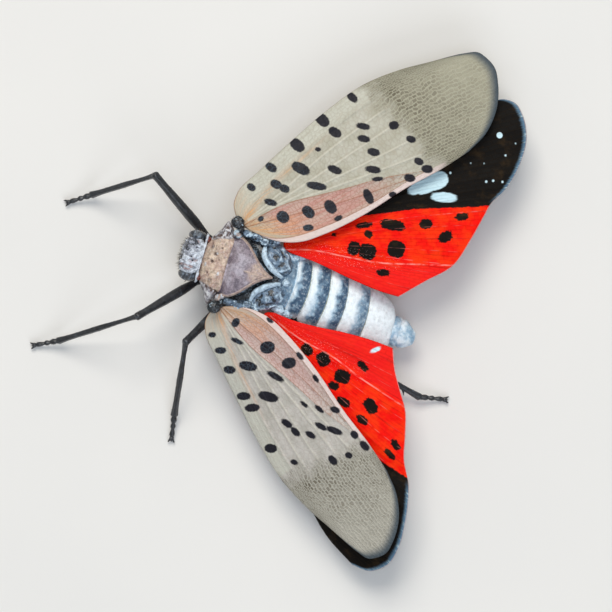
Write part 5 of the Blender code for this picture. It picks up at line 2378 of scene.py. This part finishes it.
@dataclass
class Thorax:
    """The winged part of the body: blue-black, with two wrinkled bluish plates behind the back plate."""

    sections: tuple[Point, ...] = (
        (-0.35, 2.15, 5.85, 4.5, 2.7), (-0.08, 2.3, 5.95, 4.5, 2.55), (0.25, 2.5, 6.12, 4.45, 2.3),
        (1.2, 2.6, 6.18, 4.45, 2.1), (2.1, 2.4, 6.15, 4.5, 2.0), (2.9, 2.15, 6.0, 4.6, 2.05),
        (3.6, 1.95, 5.75, 4.6, 2.25), (3.95, 1.8, 5.5, 4.6, 2.5), (4.3, 1.7, 5.2, 4.5, 2.75),
    )
    power: float = 2.8
    groove: tuple[Point, ...] = ((2.2, 0.9), (1.62, 1.85), (1.15, 2.15), (0.62, 2.7), (0.12, 3.45))
    plate_centre: Point = (1.42, 3.28, 5.42)
    plate_radii: Point = (1.3, 0.8, 0.6)
    plate_turn: float = -47.0
    plate_grid: tuple[int, int] = (70, 110)
    wave_height: float = 0.045
    warp_height: float = 0.12
    plate_grit: float = 0.04
    span: tuple[float, float] = (-0.33, 4.28)
    grid: tuple[int, int] = (130, 240)
    fold_height: float = 0.09
    groove_depth: float = 0.16
    under_folds: float = 0.03
    ridge_grid: tuple[int, int] = (60, 26)
    lump_grid: tuple[int, int] = (34, 50)
    knob_grid: tuple[int, int] = (30, 44)
    lump_rough: float = 0.3
    ridge: tuple[Point, ...] = (
        (1.95, 2.12, 5.85), (1.35, 2.25, 6.06), (0.86, 2.7, 6.12), (0.5, 3.22, 6.06), (0.24, 3.8, 5.86),
    )
    ridge_radii: tuple[float, ...] = (0.12, 0.2, 0.22, 0.2, 0.12)
    bosses: tuple[tuple[Point, Point, float], ...] = (
        ((2.5, 0.6, 6.05), (0.26, 0.5, 0.4), 8.0), ((2.46, 1.35, 6.0), (0.3, 0.42, 0.42), -10.0),
        ((2.3, 1.95, 5.9), (0.26, 0.34, 0.4), 20.0), ((2.6, 2.6, 5.5), (0.34, 0.42, 0.45), -20.0),
    )
    joint: Point = (0.08, 4.22, 5.5)
    joint_radii: Point = (0.26, 0.28, 0.28)
    waxy_sides: tuple[tuple[Point, Point, float], ...] = (
        ((1.95, 4.15, 4.85), (0.42, 0.55, 0.5), -25.0), ((2.15, 4.8, 4.5), (0.34, 0.45, 0.5), -10.0),
    )
    knobs: tuple[tuple[Point, Point, float], ...] = (
        ((2.36, -0.1, 6.5), (0.24, 0.2, 0.28), 20.0), ((2.2, 0.12, 6.35), (0.2, 0.2, 0.24), 0.0),
    )

    def top(self, x: Array, y: Array) -> Array:
        """Height of the plain upper surface.

        Args:
            x: Plan places across the body.
            y: Plan places along it.

        Returns:
            The heights.
        """
        table = np.array(self.sections)
        width, top, middle = np.moveaxis(curve_through(table[:, 1:4], table[:, 0])(y), -1, 0)
        inside = np.maximum(1 - np.abs(x / width) ** self.power, 0.0)
        return middle + (top - middle) * inside ** (1 / self.power)

    def trunk(self) -> Shell:
        """The trunk itself, with the groove along the back plate painted dark as painted shade."""
        hull = body_hull(self.sections, self.span, self.grid, self.power)
        x, y, z = np.moveaxis(hull.rings, -1, 0)
        places = np.stack([np.abs(x), y], -1).reshape(-1, 2)
        gap, _ = line_gap(places, dense(self.groove, 30))
        above = smooth(z, 4.9, 5.5)
        groove = hump(gap.reshape(x.shape), 0.24) * above
        folds = GRAIN.layered(hull.rings * np.array((1.0, 1.0, 0.6)), 0.55, 4)
        hull = hull.pushed(self.fold_height * folds * above - self.groove_depth * groove + self.under_folds
                           * folds)
        # The groove is painted dark as painted shade under the back plate's edge; pale on the folds' crests on top
        # is painted highlight, and dark in their dips painted shade
        return plain_shell(
            hull.capped(5, 0.2),
            dark=np.clip(groove * 1.6 + smooth(folds, 0.1, -0.3) * 0.5, 0, 1),
            pale=np.clip(above * smooth(folds, 0.15, 0.5), 0, 1) * (1 - groove),
        )

    def lumps(
        self, rows: Sequence[tuple[Point, Point, float]], grid: tuple[int, int],
    ) -> Iterator[tuple[Hull, int]]:
        """Uneven lumps, each on the left side and then on the right one.

        Args:
            rows: Each lump's middle, half sizes and turn on the left side.
            grid: How many rings a lump has, and how many points a ring has.

        Yields:
            Each lump's skin and the sign of its X.
        """
        for (centre, radii, turn), side in product(rows, (1, -1)):
            yield ball(np.array(centre) * (side, 1, 1), radii, side * turn, *grid, self.lump_rough), side

    def plate(self, side: int) -> list[Shell]:
        """One of the two wrinkled plates, with the pale ridge along it.

        Args:
            side: 1 for the left one, -1 for the right one.

        Returns:
            The plate's and the ridge's surfaces.
        """
        way = np.array((side, 1, 1))
        local = ball_places(*self.plate_grid)
        hull = ball(np.array(self.plate_centre) * way, self.plate_radii, side * self.plate_turn,
                    *self.plate_grid)
        reach = np.hypot(local[..., 0], local[..., 1])
        warp = GRAIN.layered(hull.rings, 0.9)
        waves = np.sin(reach * 8.0 + 9.0 * warp + 3.0 * local[..., 1])
        upper = smooth(local[..., 2], 0.0, 0.35)
        grit = GRAIN.layered(hull.rings, 0.2)
        hull = hull.pushed((self.wave_height * waves + self.warp_height * warp + self.plate_grit * grit)
                           * upper)
        rim = smooth(reach, 0.6, 0.9)
        # Pale on the wave crests of the plate's top, strongest towards its rim, is painted highlight, and dark in
        # the troughs is painted shade
        shells = [plain_shell(
            hull,
            dark=np.clip(smooth(waves + 1.4 * grit, 0.2, -1.2) * (1.0 - 0.5 * rim), 0, 1),
            pale=np.clip(smooth(waves + 1.8 * grit, 0.2, 1.4) * (0.5 + 0.6 * rim), 0, 1) * upper,
        )]
        crest = tube(np.array(self.ridge) * way, self.ridge_radii, *self.ridge_grid)
        streak = GRAIN.layered(crest.rings, 0.35)
        line = np.cos(round_angles(self.ridge_grid[1]) * 3 + 0.5)[None] * np.ones((self.ridge_grid[0], 1))
        crest = crest.pushed(0.02 * line + 0.05 * streak)
        shells.append(plain_shell(
            crest.capped(5, 0.7),
            pale=np.clip(0.95 + 0.5 * streak - 0.2 * (line < -0.6), 0, 1),
            dark=smooth(streak, -0.2, -0.5) * 0.6,
        ))
        return shells

    def build(self, material: bpy.types.Material) -> None:
        """Builds the thorax with all its lumps and adds it in place of its CAD node."""
        shells = [self.trunk(), *self.plate(1), *self.plate(-1)]
        # Pale on each boss's bumps is painted highlight, and dark in its dips painted shade
        for boss, _ in self.lumps(self.bosses, self.lump_grid):
            lump = GRAIN.layered(boss.rings + 3, 0.4)
            boss = boss.pushed(0.07 * lump)
            shells.append(plain_shell(boss, dark=smooth(lump, 0.0, -0.35), pale=smooth(lump, 0.05, 0.4)))
        for knob, side in self.lumps(self.knobs, self.knob_grid):
            lump = GRAIN.layered(knob.rings, 0.2, 2)
            pale = np.clip(0.8 + lump, 0, 1) * (1.0 if side < 0 else 0.5)
            shells.append(plain_shell(knob, pale=pale, warm=0.8))
        for lump, _ in self.lumps(self.waxy_sides, self.lump_grid):
            cloud = GRAIN.layered(lump.rings, 0.35)
            shells.append(plain_shell(lump.pushed(0.06 * cloud), pale=smooth(cloud, -0.5, 0.0)))
        joint = ball(self.joint, self.joint_radii, 0, *self.knob_grid, self.lump_rough)
        shells.append(plain_shell(joint, pale=0.7))
        mesh = mesh_of("thorax", Shell.joined(shells))
        add_piece("thorax_skin", mesh, material, "thorax_cuticle", "thorax")


@dataclass
class Abdomen:
    """The banded abdomen: dark granular bands between bands of white wax, and small last segments."""

    sections: tuple[Point, ...] = (
        (4.0, 1.75, 1.35, 4.1), (4.2, 1.9, 1.45, 4.05), (5.5, 2.25, 1.7, 3.9), (7.0, 2.45, 1.78, 3.65),
        (9.0, 2.4, 1.62, 3.2), (10.6, 2.15, 1.35, 2.85), (12.0, 1.65, 1.0, 2.6), (12.3, 1.45, 0.85, 2.55),
    )
    seams: tuple[float, ...] = (3.9, 4.85, 5.95, 7.4, 8.75, 10.45, 12.4)
    bend: float = 1.15
    bend_start: float = 4.2
    bend_length: float = 7.8
    bend_power: float = 1.4
    seam_curve: float = 0.075
    span: tuple[float, float] = (4.0, 12.2)
    grid: tuple[int, int] = (260, 200)
    power: float = 2.1
    inset: float = 0.06
    band_starts: tuple[float, ...] = (0.05, 0.12, 0.22, 0.36, 0.42, 2.0)
    band_strengths: tuple[float, ...] = (0.6, 0.95, 0.9, 0.85, 0.6, 0.0)
    band_softness: float = 0.42
    ring_height: float = 0.1
    seam_depth: float = 0.1
    wrinkle_height: float = 0.05
    granule_height: float = 0.022
    side_fold: float = 0.1
    tip_grid: tuple[int, int] = (80, 120)
    tip_height: float = 2.5
    tip_start: float = 12.27
    tip_length: float = 1.78
    tip_seam: float = 12.95
    tip_relief: float = 0.05
    tip_seam_depth: float = 0.09
    tip_cleft: float = 0.08
    tip_sections: tuple[Point, ...] = ((12.1, 0.85, 0.6), (12.5, 1.05, 0.78), (12.9, 1.07, 0.8),
                                       (13.6, 0.8, 0.62), (13.95, 0.5, 0.38))

    def bent(self, y: Array) -> Array:
        """How far the abdomen's middle is to the side at each Y."""
        share = np.clip(y - self.bend_start, 0, None) / self.bend_length
        return self.bend * share**self.bend_power

    def build(self, material: bpy.types.Material) -> None:
        """Builds the abdomen and its tip and adds them in place of their CAD nodes."""
        table = np.array(self.sections)
        y = np.linspace(*self.span, self.grid[0])
        width, rise, middle = curve_through(table[:, 1:], table[:, 0])(y).T[..., None]
        angles = round_angles(self.grid[1])[None]
        side, up = oval_ring(angles, width - self.inset, rise - self.inset, rise - self.inset, self.power)
        deep = np.broadcast_to(y[:, None], side.shape)
        hull = Hull(np.stack([side + self.bent(deep), deep, middle + up], -1))
        seams = np.array(self.seams)
        local = deep + self.seam_curve * side**2
        last = len(seams) - 2
        segment = np.clip(np.searchsorted(seams, local, side="right") - 1, 0, last)
        share = (local - seams[segment]) / (seams[segment + 1] - seams[segment])
        seam_gap = np.min([np.abs(local - s) for s in seams], axis=0)
        wrinkle = GRAIN.layered(hull.rings * np.array((0.7, 1.6, 1.0)), 0.3)
        granule = GRAIN.layered(hull.rings, 0.14, 2)
        upper = smooth(up, -0.6, 0.0)
        crown = np.sin(np.clip(share, 0, 1) * math.pi) ** 0.6
        relief = self.ring_height * crown - self.seam_depth * hump(seam_gap, 0.07)
        folded = 0.4 + hump(seam_gap, 0.3)
        relief += self.wrinkle_height * wrinkle * folded + self.granule_height * granule * upper
        relief -= self.side_fold * hump(up + 0.45, 0.12)
        hull = hull.pushed(relief)
        cloud = GRAIN.layered(hull.rings, 0.6, 4)
        start = np.array(self.band_starts)[segment]
        strength = np.array(self.band_strengths)[segment]
        edge = smooth(np.abs(side) / width, 0.7, 0.97)
        streaks = GRAIN.layered(hull.rings * np.array((1.7, 0.45, 1.0)), 0.5)
        band = smooth(share + 0.25 * cloud + 0.22 * streaks, start, start + self.band_softness)
        band *= smooth(share, 1.0, 0.88)
        blotch = GRAIN.layered(hull.rings + 4, 0.28)
        band *= strength * (1 - 0.75 * edge) * (1 + 0.35 * granule + 0.9 * np.clip(blotch, -0.5, 0.1))
        streak = (segment == last) * hump(share - 0.45 - 0.1 * cloud, 0.07)
        streak = streak * smooth(np.abs(side), 1.2, 0.4) * 0.6
        wax = smooth(share + 0.18 * cloud, start + 0.3, start - 0.15)
        wax = np.maximum(wax, np.where(segment == last, 0.95, 0.9 * edge))
        olive = hump(share - 0.985, 0.035) * (segment < last) * (segment > 0) * (1 - 0.5 * edge)
        shell = plain_shell(
            hull.capped(5, 0.25),
            dark=np.clip(band + streak, 0, 1),
            pale=np.clip(wax * (1 - band), 0, 1) * (1 - olive),
            warm=olive,
        )
        add_piece("abdomen_skin", mesh_of("abdomen", shell), material, "waxy_abdomen", "abdomen")
        self.build_tip(material)

    def build_tip(self, material: bpy.types.Material) -> None:
        """Builds the last segments and adds them in place of their CAD node."""
        table = np.array(self.tip_sections)
        first, end = table[0, 0], table[-1, 0]
        y = np.linspace(first, end, self.tip_grid[0])
        width, rise = curve_through(table[:, 1:], table[:, 0])(y).T[..., None]
        angles = round_angles(self.tip_grid[1])[None]
        side, up = oval_ring(angles, width, rise, rise, self.power)
        deep = np.broadcast_to(y[:, None], side.shape)
        share = (deep - self.tip_start) / self.tip_length
        hull = Hull(np.stack([side + self.bend + 0.2 * share, deep, self.tip_height - 0.1 * share + up], -1))
        relief = self.tip_relief * GRAIN.layered(hull.rings, 0.4, 4)
        relief -= self.tip_seam_depth * hump(deep - self.tip_seam, 0.08)
        relief -= self.tip_cleft * hump(side, 0.07) * (deep > self.tip_seam)
        hull = hull.pushed(relief).capped(6, 0.4)
        cloud = GRAIN.layered(np.stack([side, deep, up], -1), 0.5)
        shell = plain_shell(hull, pale=smooth(cloud, -0.3, 0.5) * 0.7, dark=smooth(cloud, -0.3, -0.7) * 0.45)
        add_piece("abdomen_tip_skin", mesh_of("abdomen_tip", shell), material, "waxy_abdomen", "abdomen_tip")


@dataclass
class WingRoot:
    """The small dark hairy scale over a forewing's root."""

    half: Half
    centre: Point = (3.1, -0.2, 6.62)
    radii: Point = (0.42, 0.46, 0.24)
    strut: Point = (2.72, 0.12, 6.35)
    strut_radii: Point = (0.3, 0.24, 0.3)

    def build(self, material: bpy.types.Material) -> Shell:
        """Builds the scale and adds it in place of its CAD node."""
        sign = (self.half.value, 1, 1)
        scale = ball(np.array(self.centre) * sign, self.radii, rows=36, count=52, rough=0.18)
        strut = ball(np.array(self.strut) * sign, self.strut_radii, rows=26, count=40, rough=0.3)
        shells = []
        for hull in (scale, strut):
            fleck = GRAIN.layered(hull.rings, 0.2, 2)
            shells.append(plain_shell(hull, pale=smooth(fleck, 0.35, 0.6) * 0.6, coat=1.0, dark=0.85))
        shell = Shell.joined(shells)
        name = f"tegula_{self.half.label}"
        add_piece(f"{name}_scale", mesh_of(name, shell), material, "thorax_cuticle", name)
        return shell


@dataclass
class Leg:
    """One jointed leg, from its coxa to its claws."""

    name: str
    socket: Point
    trochanter: Point
    knee: Point
    ankle: Point
    toe: Point
    spines: int = 0
    femur: float = 0.33
    tibia: float = 0.2
    tarsus: float = 0.17
    claw: float = 0.5
    coxa_radii: tuple[float, ...] = (0.4, 0.43, 0.4, 0.26)
    trochanter_radii: tuple[float, ...] = (0.22, 0.29, 0.22)
    femur_shape: tuple[float, ...] = (0.68, 1.0, 0.96, 0.8, 0.86)
    tibia_shape: tuple[float, ...] = (1.15, 0.95, 1.0, 1.1, 1.25)
    foot_joints: tuple[tuple[float, float, float], ...] = (
        (0.0, 0.36, 1.12), (0.38, 0.62, 1.0), (0.64, 1.0, 0.95),
    )
    foot_shape: tuple[float, ...] = (0.6, 0.85, 1.05, 0.8)
    pad_radii: tuple[float, ...] = (0.13, 0.17, 0.08)
    claw_radii: tuple[float, ...] = (0.09, 0.08, 0.045, 0.012)
    spine_radii: tuple[float, ...] = (0.12, 0.09, 0.015)
    spur_radii: tuple[float, ...] = (0.1, 0.07, 0.015)
    limb_points: int = 20
    roughness: float = 0.012

    def limb(self, route: Sequence[Point], radii: Sequence[float], rows: int, corners: float = 0.06) -> Shell:
        """One stretch of the leg between two joints.

        Args:
            route: Points along it.
            radii: Its radius at each point.
            rows: How many rings it has.
            corners: How far its long edges stand out.

        Returns:
            The stretch's surface.
        """
        hull = tube(route, radii, rows, self.limb_points, corners)
        hull = hull.pushed(self.roughness * GRAIN.layered(hull.rings, 0.2)).capped(4, 0.6)
        way = np.array(route[-1], float) - np.array(route[0], float)
        way /= np.linalg.norm(way)
        fleck = GRAIN.layered(hull.rings, 0.35)
        return plain_shell(hull, pale=smooth(fleck, 0.3, 0.6) * 0.5, dark=smooth(fleck, 0.0, -0.4) * 0.6,
                           coat=1.0,
                           lie=np.broadcast_to(way, hull.rings.shape))

    def claws(self, toe: Array, ahead: Array) -> list[Shell]:
        """The two hooked claws and the pad between them.

        Args:
            toe: The end of the foot.
            ahead: The way it points, along the floor.

        Returns:
            Their surfaces.
        """
        aside = np.array((-ahead[1], ahead[0], 0.0))
        shells = [self.limb([toe, toe + ahead * 0.12, toe + ahead * 0.3 - (0, 0, 0.12)],
                            self.pad_radii, 14, 0.0)]
        for sign in (1, -1):
            out = ahead * 0.88 + aside * sign * 0.47
            hook = [toe, toe + out * self.claw * 0.45 + (0, 0, 0.08),
                    toe + out * self.claw * 0.85 - (0, 0, 0.05),
                    toe + out * self.claw - (0, 0, 0.2)]
            shells.append(self.limb(hook, self.claw_radii, 16, 0.0))
        return shells

    def build(self, material: bpy.types.Material) -> Shell:
        """Builds the leg and adds it in place of its CAD node."""
        bends = (self.socket, self.trochanter, self.knee, self.ankle, self.toe)
        socket, trochanter, knee, ankle, toe = (np.array(bend, float) for bend in bends)
        thigh = unit_vector(knee - trochanter)
        shin = unit_vector(ankle - knee)
        inward = unit_vector(socket - trochanter)
        femur, tibia = knee - trochanter, ankle - knee
        shells = [
            self.limb([socket + inward * 0.35, socket, (socket + trochanter) / 2, trochanter],
                      self.coxa_radii, 30),
            self.limb([trochanter - thigh * 0.12, trochanter + thigh * 0.15, trochanter + thigh * 0.42],
                      self.trochanter_radii, 20),
            self.limb([trochanter + thigh * 0.35, trochanter + femur * 0.25, trochanter + femur * 0.6,
                       knee - thigh * 0.5, knee + thigh * 0.05],
                      [self.femur * share for share in self.femur_shape], 60),
            self.limb([knee - shin * 0.08, knee + shin * 0.35, knee + tibia * 0.5, ankle - shin * 0.4,
                       ankle + shin * 0.03],
                      [self.tibia * share for share in self.tibia_shape], 70, 0.12),
        ]
        foot = toe - ankle
        for start, end, size in self.foot_joints:
            a, b = ankle + foot * start, ankle + foot * end
            radii = [self.tarsus * size * share for share in self.foot_shape]
            shells.append(self.limb([a, a + (b - a) * 0.25, a + (b - a) * 0.8, b], radii, 22))
        ahead = np.array((foot[0], foot[1], 0.0)) / math.hypot(foot[0], foot[1])
        shells += self.claws(toe, ahead)
        out = np.cross(shin, (0, 0, 1.0)) * (1 if ankle[0] > 0 else -1)
        out /= np.linalg.norm(out)
        for k in range(self.spines):
            root = knee + (ankle - knee) * (0.35 + 0.6 * k / self.spines)
            way = unit_vector(out + shin * 0.8)
            shells.append(self.limb([root, root + way * 0.25, root + way * 0.58], self.spine_radii, 14, 0.0))
        for sign in (1, -1):
            way = shin * 0.9 + out * sign * 0.4
            shells.append(self.limb([ankle, ankle + way * 0.16, ankle + way * 0.3], self.spur_radii, 10, 0.0))
        shell = Shell.joined(shells)
        add_piece(f"{self.name}_skin", mesh_of(self.name, shell), material, "leg_cuticle", self.name)
        return shell


# Each leg's socket, trochanter, knee, ankle and toe, and how many spines its shin has
LEGS: tuple[Leg, ...] = (
    Leg("leg_front_left", (1.0, -1.15, 2.95), (1.5, -1.75, 2.25), (5.2, -5.2, 5.2), (8.5, -10.3, 0.85),
        (9.25, -11.8, 0.3)),
    Leg("leg_front_right", (-1.0, -1.15, 2.95), (-1.4, -1.85, 2.25), (-4.7, -6.75, 5.1), (-2.2, -10.9, 0.85),
        (-1.3, -12.3, 0.3)),
    Leg("leg_mid_left", (1.55, 0.9, 2.45), (2.0, 0.75, 1.75), (6.0, -1.45, 4.7), (11.3, -0.9, 0.85),
        (12.9, -0.65, 0.3)),
    Leg("leg_mid_right", (-1.55, 0.9, 2.45), (-2.0, 1.0, 1.75), (-6.0, 1.9, 3.9), (-10.6, 5.6, 0.85),
        (-12.0, 6.6, 0.3)),
    Leg("leg_hind_left", (1.3, 2.85, 2.4), (1.85, 3.2, 1.7), (3.6, 9.0, 2.8), (5.25, 15.6, 0.8),
        (4.95, 17.3, 0.3), 4),
    Leg("leg_hind_right", (-1.3, 2.85, 2.4), (-1.85, 3.2, 1.7), (-5.6, 7.2, 3.3), (-6.6, 13.4, 0.8),
        (-6.9, 15.0, 0.3), 4),
)


@dataclass
class Beak:
    """The long jointed beak, laid back between the legs."""

    route: tuple[Point, ...] = (
        (0.0, -2.5, 2.6), (0.0, -2.42, 2.2), (0.0, -2.1, 2.0), (0.0, -1.2, 1.85), (0.0, 0.2, 1.6),
        (0.0, 2.9, 1.45),
    )
    radii: tuple[float, ...] = (0.3, 0.3, 0.31, 0.27, 0.22, 0.12)
    joints: tuple[float, ...] = (-0.9, 0.9)
    joint_depth: float = 0.04
    groove_depth: float = 0.03

    def build(self, material: bpy.types.Material) -> None:
        """Builds the beak and adds it in place of its CAD node."""
        hull = tube(self.route, self.radii, 120, 28)
        y = hull.rings[..., 1]
        groove = hump(hull.rings[..., 0], 0.05) * (hull.rings[..., 2] < 1.9)
        joints = sum(hump(y - joint, 0.06) for joint in self.joints)
        hull = hull.pushed(-self.joint_depth * joints - self.groove_depth * groove).capped(5, 0.8)
        shell = plain_shell(hull, dark=smooth(hull.rings[..., 1], 1.5, 2.8))
        add_piece("beak", mesh_of("beak", shell), material, "leg_cuticle", "rostrum")


@dataclass
class Studio:
    """A plain pale floor, soft lamps and the camera above the insect."""

    turn: Point = (-0.276, 0.961)
    scale: float = 14.2
    image: int = 612
    sensor: float = 36.0
    floor_size: float = 3.0
    floor_tone: Colour = tone(226, 224, 219)
    sky_tone: Colour = tone(236, 238, 242)
    sky_strength: float = 0.32

    def floor(self) -> None:
        """The floor, which isn't part of the object."""
        half = self.floor_size / 2
        corners = [(-half, -half, 0), (half, -half, 0), (half, half, 0), (-half, half, 0)]
        mesh = bpy.data.meshes.new("floor")
        mesh.from_pydata(corners, [], [(0, 1, 2, 3)])
        material, bench, shader = new_material("pale_floor")
        cloud = bench.noise(bench.place(), 0.05)
        colour = bench.blend(cloud, self.floor_tone, tone(219, 218, 214))
        bench.feed(shader, {"Base Color": colour, "Roughness": 0.8})
        mesh.materials.append(material)
        floor = bpy.data.objects.new("floor", mesh)
        bpy.context.scene.collection.objects.link(floor)
        floor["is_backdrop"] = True

    @staticmethod
    def lamp(name: str, place: Point, size: float, power: float, colour: Colour) -> None:
        """A square soft lamp, pointed at the middle of the frame.

        Args:
            name: The lamp's name.
            place: Where it is, in metres.
            size: Its side, in metres.
            power: Its power in watts.
            colour: Its colour.
        """
        data = bpy.data.lights.new(name, "AREA")
        data.size = size
        data.energy = power
        data.color = colour
        lamp = bpy.data.objects.new(name, data)
        way = np.array(place, float)
        lamp.location = place
        lamp.rotation_mode = "QUATERNION"
        lamp.rotation_quaternion = type(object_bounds()[0])(way).to_track_quat("Z", "Y")
        bpy.context.scene.collection.objects.link(lamp)

    def camera(self) -> None:
        """The camera, straight above the insect and turned as the photograph is."""
        data = bpy.data.cameras.new("camera")
        data.sensor_width = self.sensor
        data.lens = self.sensor * CAMERA_RISE / (self.image / self.scale)
        data.clip_start = 0.01
        data.clip_end = 10.0
        camera = bpy.data.objects.new("camera", data)
        place = (CAMERA_PLACE + MOVE[:2]) * MM
        camera.location = (place[0], place[1], (BACK_HEIGHT + CAMERA_RISE) * MM)
        camera.rotation_euler = (0.0, 0.0, math.atan2(self.turn[1], self.turn[0]))
        bpy.context.scene.collection.objects.link(camera)
        bpy.context.scene.camera = camera

    def build(self) -> None:
        """Sets up the floor, the sky, the lamps and the camera."""
        self.floor()
        scene = bpy.context.scene
        scene.world = bpy.data.worlds.new("pale_room")
        scene.world.use_nodes = True
        sky = scene.world.node_tree.nodes["Background"]
        sky.inputs["Color"].default_value = (*self.sky_tone, 1.0)
        sky.inputs["Strength"].default_value = self.sky_strength
        scene.view_settings.view_transform = "Standard"
        for lamp in LAMPS:
            self.lamp(*lamp)
        self.camera()


# Each lamp's name, place and size in metres, power in watts and colour
LAMPS: tuple[tuple[str, Point, float, float, Colour], ...] = (
    ("key", (-0.25, -0.12, 0.42), 0.25, 1.8, tone(255, 250, 242)),
    ("fill", (0.3, 0.2, 0.35), 0.3, 0.7, tone(236, 244, 255)),
    ("top", (0.02, 0.05, 0.55), 0.22, 0.7, tone(226, 238, 255)),
)

FOREWING_FINISHES = {
    Half.RIGHT: ForewingFinish(),
    Half.LEFT: ForewingFinish(
        "spotted_left_forewing", tone(194, 189, 181), tone(176, 172, 162), tone(204, 170, 162),
        tone(186, 150, 144),
        net_pale=tone(184, 180, 166), net_haze=tone(164, 160, 146),
    ),
}
COLLAR_FINISH = ShellFinish(
    "collar_shell",
    ground=tone(140, 138, 148), mottle=tone(168, 164, 172),
    dark=tone(92, 72, 64), pale=tone(214, 214, 216),
    warm=tone(216, 194, 172), warm_mottle=tone(182, 152, 138),
    mottle_size=0.5, grain_size=0.1, grain_depth=0.035, powder=0.24, powder_size=0.22, speckle=0.35,
)
NECK_FINISH = ShellFinish(
    "neck_skin",
    ground=tone(112, 34, 18), mottle=tone(86, 26, 16),
    dark=tone(30, 12, 10), pale=tone(190, 110, 70),
    warm=tone(112, 34, 18), warm_mottle=tone(86, 26, 16),
    mottle_size=0.2, grain_size=0.08, grain_depth=0.02, roughness=(0.25, 0.45), coat=0.3,
)
# Its pale colour also lays painted highlight on the crown's knobs, and its dark colour painted shade between them
HEAD_FINISH = ShellFinish(
    "head_shell",
    ground=tone(140, 144, 156), mottle=tone(168, 174, 186),
    dark=tone(44, 48, 58), pale=tone(216, 224, 234),
    warm=tone(178, 152, 150), warm_mottle=tone(160, 140, 142),
    mottle_size=0.2, grain_size=0.08, grain_depth=0.035, powder=0.22, powder_size=0.25, speckle=0.35,
)
# Its dark colour also lays the painted shadow at the plate's front edge
BACK_PLATE_FINISH = ShellFinish(
    "back_plate",
    ground=tone(132, 120, 130), mottle=tone(154, 142, 150),
    dark=tone(84, 74, 88), pale=tone(176, 168, 178),
    warm=tone(202, 180, 162), warm_mottle=tone(176, 152, 142),
    mottle_size=0.3, grain_size=0.09, grain_depth=0.022, powder=0.15, powder_size=0.2, speckle=0.35,
    speckle_size=0.09, soft=0.5,
)
# Its pale colour is white wax on some lumps and painted highlight on the tops of folds, bosses and plates; its dark
# colour is also painted shade in the groove and in the dips
THORAX_FINISH = ShellFinish(
    "thorax_cuticle",
    ground=tone(82, 102, 122), mottle=tone(112, 136, 160),
    dark=tone(18, 22, 28), pale=tone(198, 222, 238),
    warm=tone(206, 184, 168), warm_mottle=tone(190, 160, 146),
    mottle_size=0.3, grain_size=0.08, grain_depth=0.03, powder=0.18, powder_size=0.3, speckle=0.25,
    roughness=(0.22, 0.5), coat=0.35,
)
ABDOMEN_FINISH = ShellFinish(
    "waxy_abdomen",
    ground=tone(140, 172, 196), mottle=tone(168, 198, 216),
    dark=tone(44, 76, 104), pale=tone(238, 248, 252),
    warm=tone(160, 154, 112), warm_mottle=tone(140, 134, 96),
    mottle_size=0.4, grain_size=0.13, grain_depth=0.03, powder=0.12, powder_size=0.4, speckle=0.22,
    speckle_size=0.2, ragged=0.45, soft=0.5, deep=0.3, shade=0.18, roughness=(0.4, 0.7), coat=0.1,
)
LEG_FINISH = ShellFinish(
    "leg_cuticle",
    ground=tone(30, 32, 36), mottle=tone(44, 47, 52),
    dark=tone(14, 14, 16), pale=tone(92, 100, 110),
    warm=tone(60, 40, 30), warm_mottle=tone(50, 34, 26),
    mottle_size=0.4, grain_size=0.07, grain_depth=0.02, powder=0.1, powder_size=0.4, speckle=0.15,
    roughness=(0.25, 0.5), coat=0.25,
)
ANTENNA_FINISH = ShellFinish(
    "orange_antenna",
    ground=tone(206, 84, 22), mottle=tone(222, 110, 36),
    dark=tone(60, 30, 20), pale=tone(238, 180, 120),
    warm=tone(214, 90, 30), warm_mottle=tone(190, 70, 24),
    mottle_size=0.15, grain_size=0.05, grain_depth=0.02, powder=0.1, roughness=(0.3, 0.5),
)


def main() -> None:
    """Builds the insect piece by piece, then the studio."""
    logging.basicConfig(level=logging.INFO, format="%(name)s %(message)s")
    forewing_finishes = {half: finish.material() for half, finish in FOREWING_FINISHES.items()}
    hindwing_finish = HindwingFinish().material()
    eye_finish = EyeFinish().material()
    antenna_finish = ANTENNA_FINISH.material()
    thorax_finish = THORAX_FINISH.material()
    leg_finish = LEG_FINISH.material()
    pale_bristle = BristleFinish("pale_bristle", tone(60, 56, 54), tone(206, 198, 180)).material()
    dark_bristle = BristleFinish("dark_bristle", tone(20, 18, 18), tone(70, 64, 60)).material()

    coats = BristleCoat.tree()
    for half in Half:
        Forewing(half).build(forewing_finishes[half])
        Hindwing(half).build(hindwing_finish)
        eye = Eye(half).build(eye_finish)
        coat = BristleCoat(
            f"eye_bristles_{half.label}", density=26, length=0.26, radius=0.011, lean=0.6, spread=0.4,
            seed=14 + half.value,
        )
        coat.build(coats, eye, pale_bristle, "eye")
        Antenna(half).build(antenna_finish)
        root = WingRoot(half).build(thorax_finish)
        coat = BristleCoat(
            f"wing_root_hairs_{half.label}", density=70, length=0.2, radius=0.01, lean=0.2, spread=0.7,
            seed=5 + half.value,
        )
        coat.build(coats, root, dark_bristle, "thorax_cuticle")
    head = Head().build(HEAD_FINISH.material())
    coat = BristleCoat("head_bristles", density=60, length=0.3, radius=0.013, lean=0.5, spread=0.45, seed=8)
    coat.build(coats, head, pale_bristle, "head_shell")
    Collar().build(COLLAR_FINISH.material())
    Neck().build(NECK_FINISH.material())
    thorax = Thorax()
    thorax.build(thorax_finish)
    BackPlate().build(BACK_PLATE_FINISH.material(), thorax)
    Abdomen().build(ABDOMEN_FINISH.material())
    Beak().build(leg_finish)
    for leg in LEGS:
        skin = leg.build(leg_finish)
        coat = BristleCoat(
            f"{leg.name}_setae", density=9, length=0.13, radius=0.009, lean=1.1, spread=0.3, seed=21,
        )
        coat.build(coats, skin, dark_bristle, "leg_cuticle")
    Studio().build()


if __name__ == "__main__":
    main()
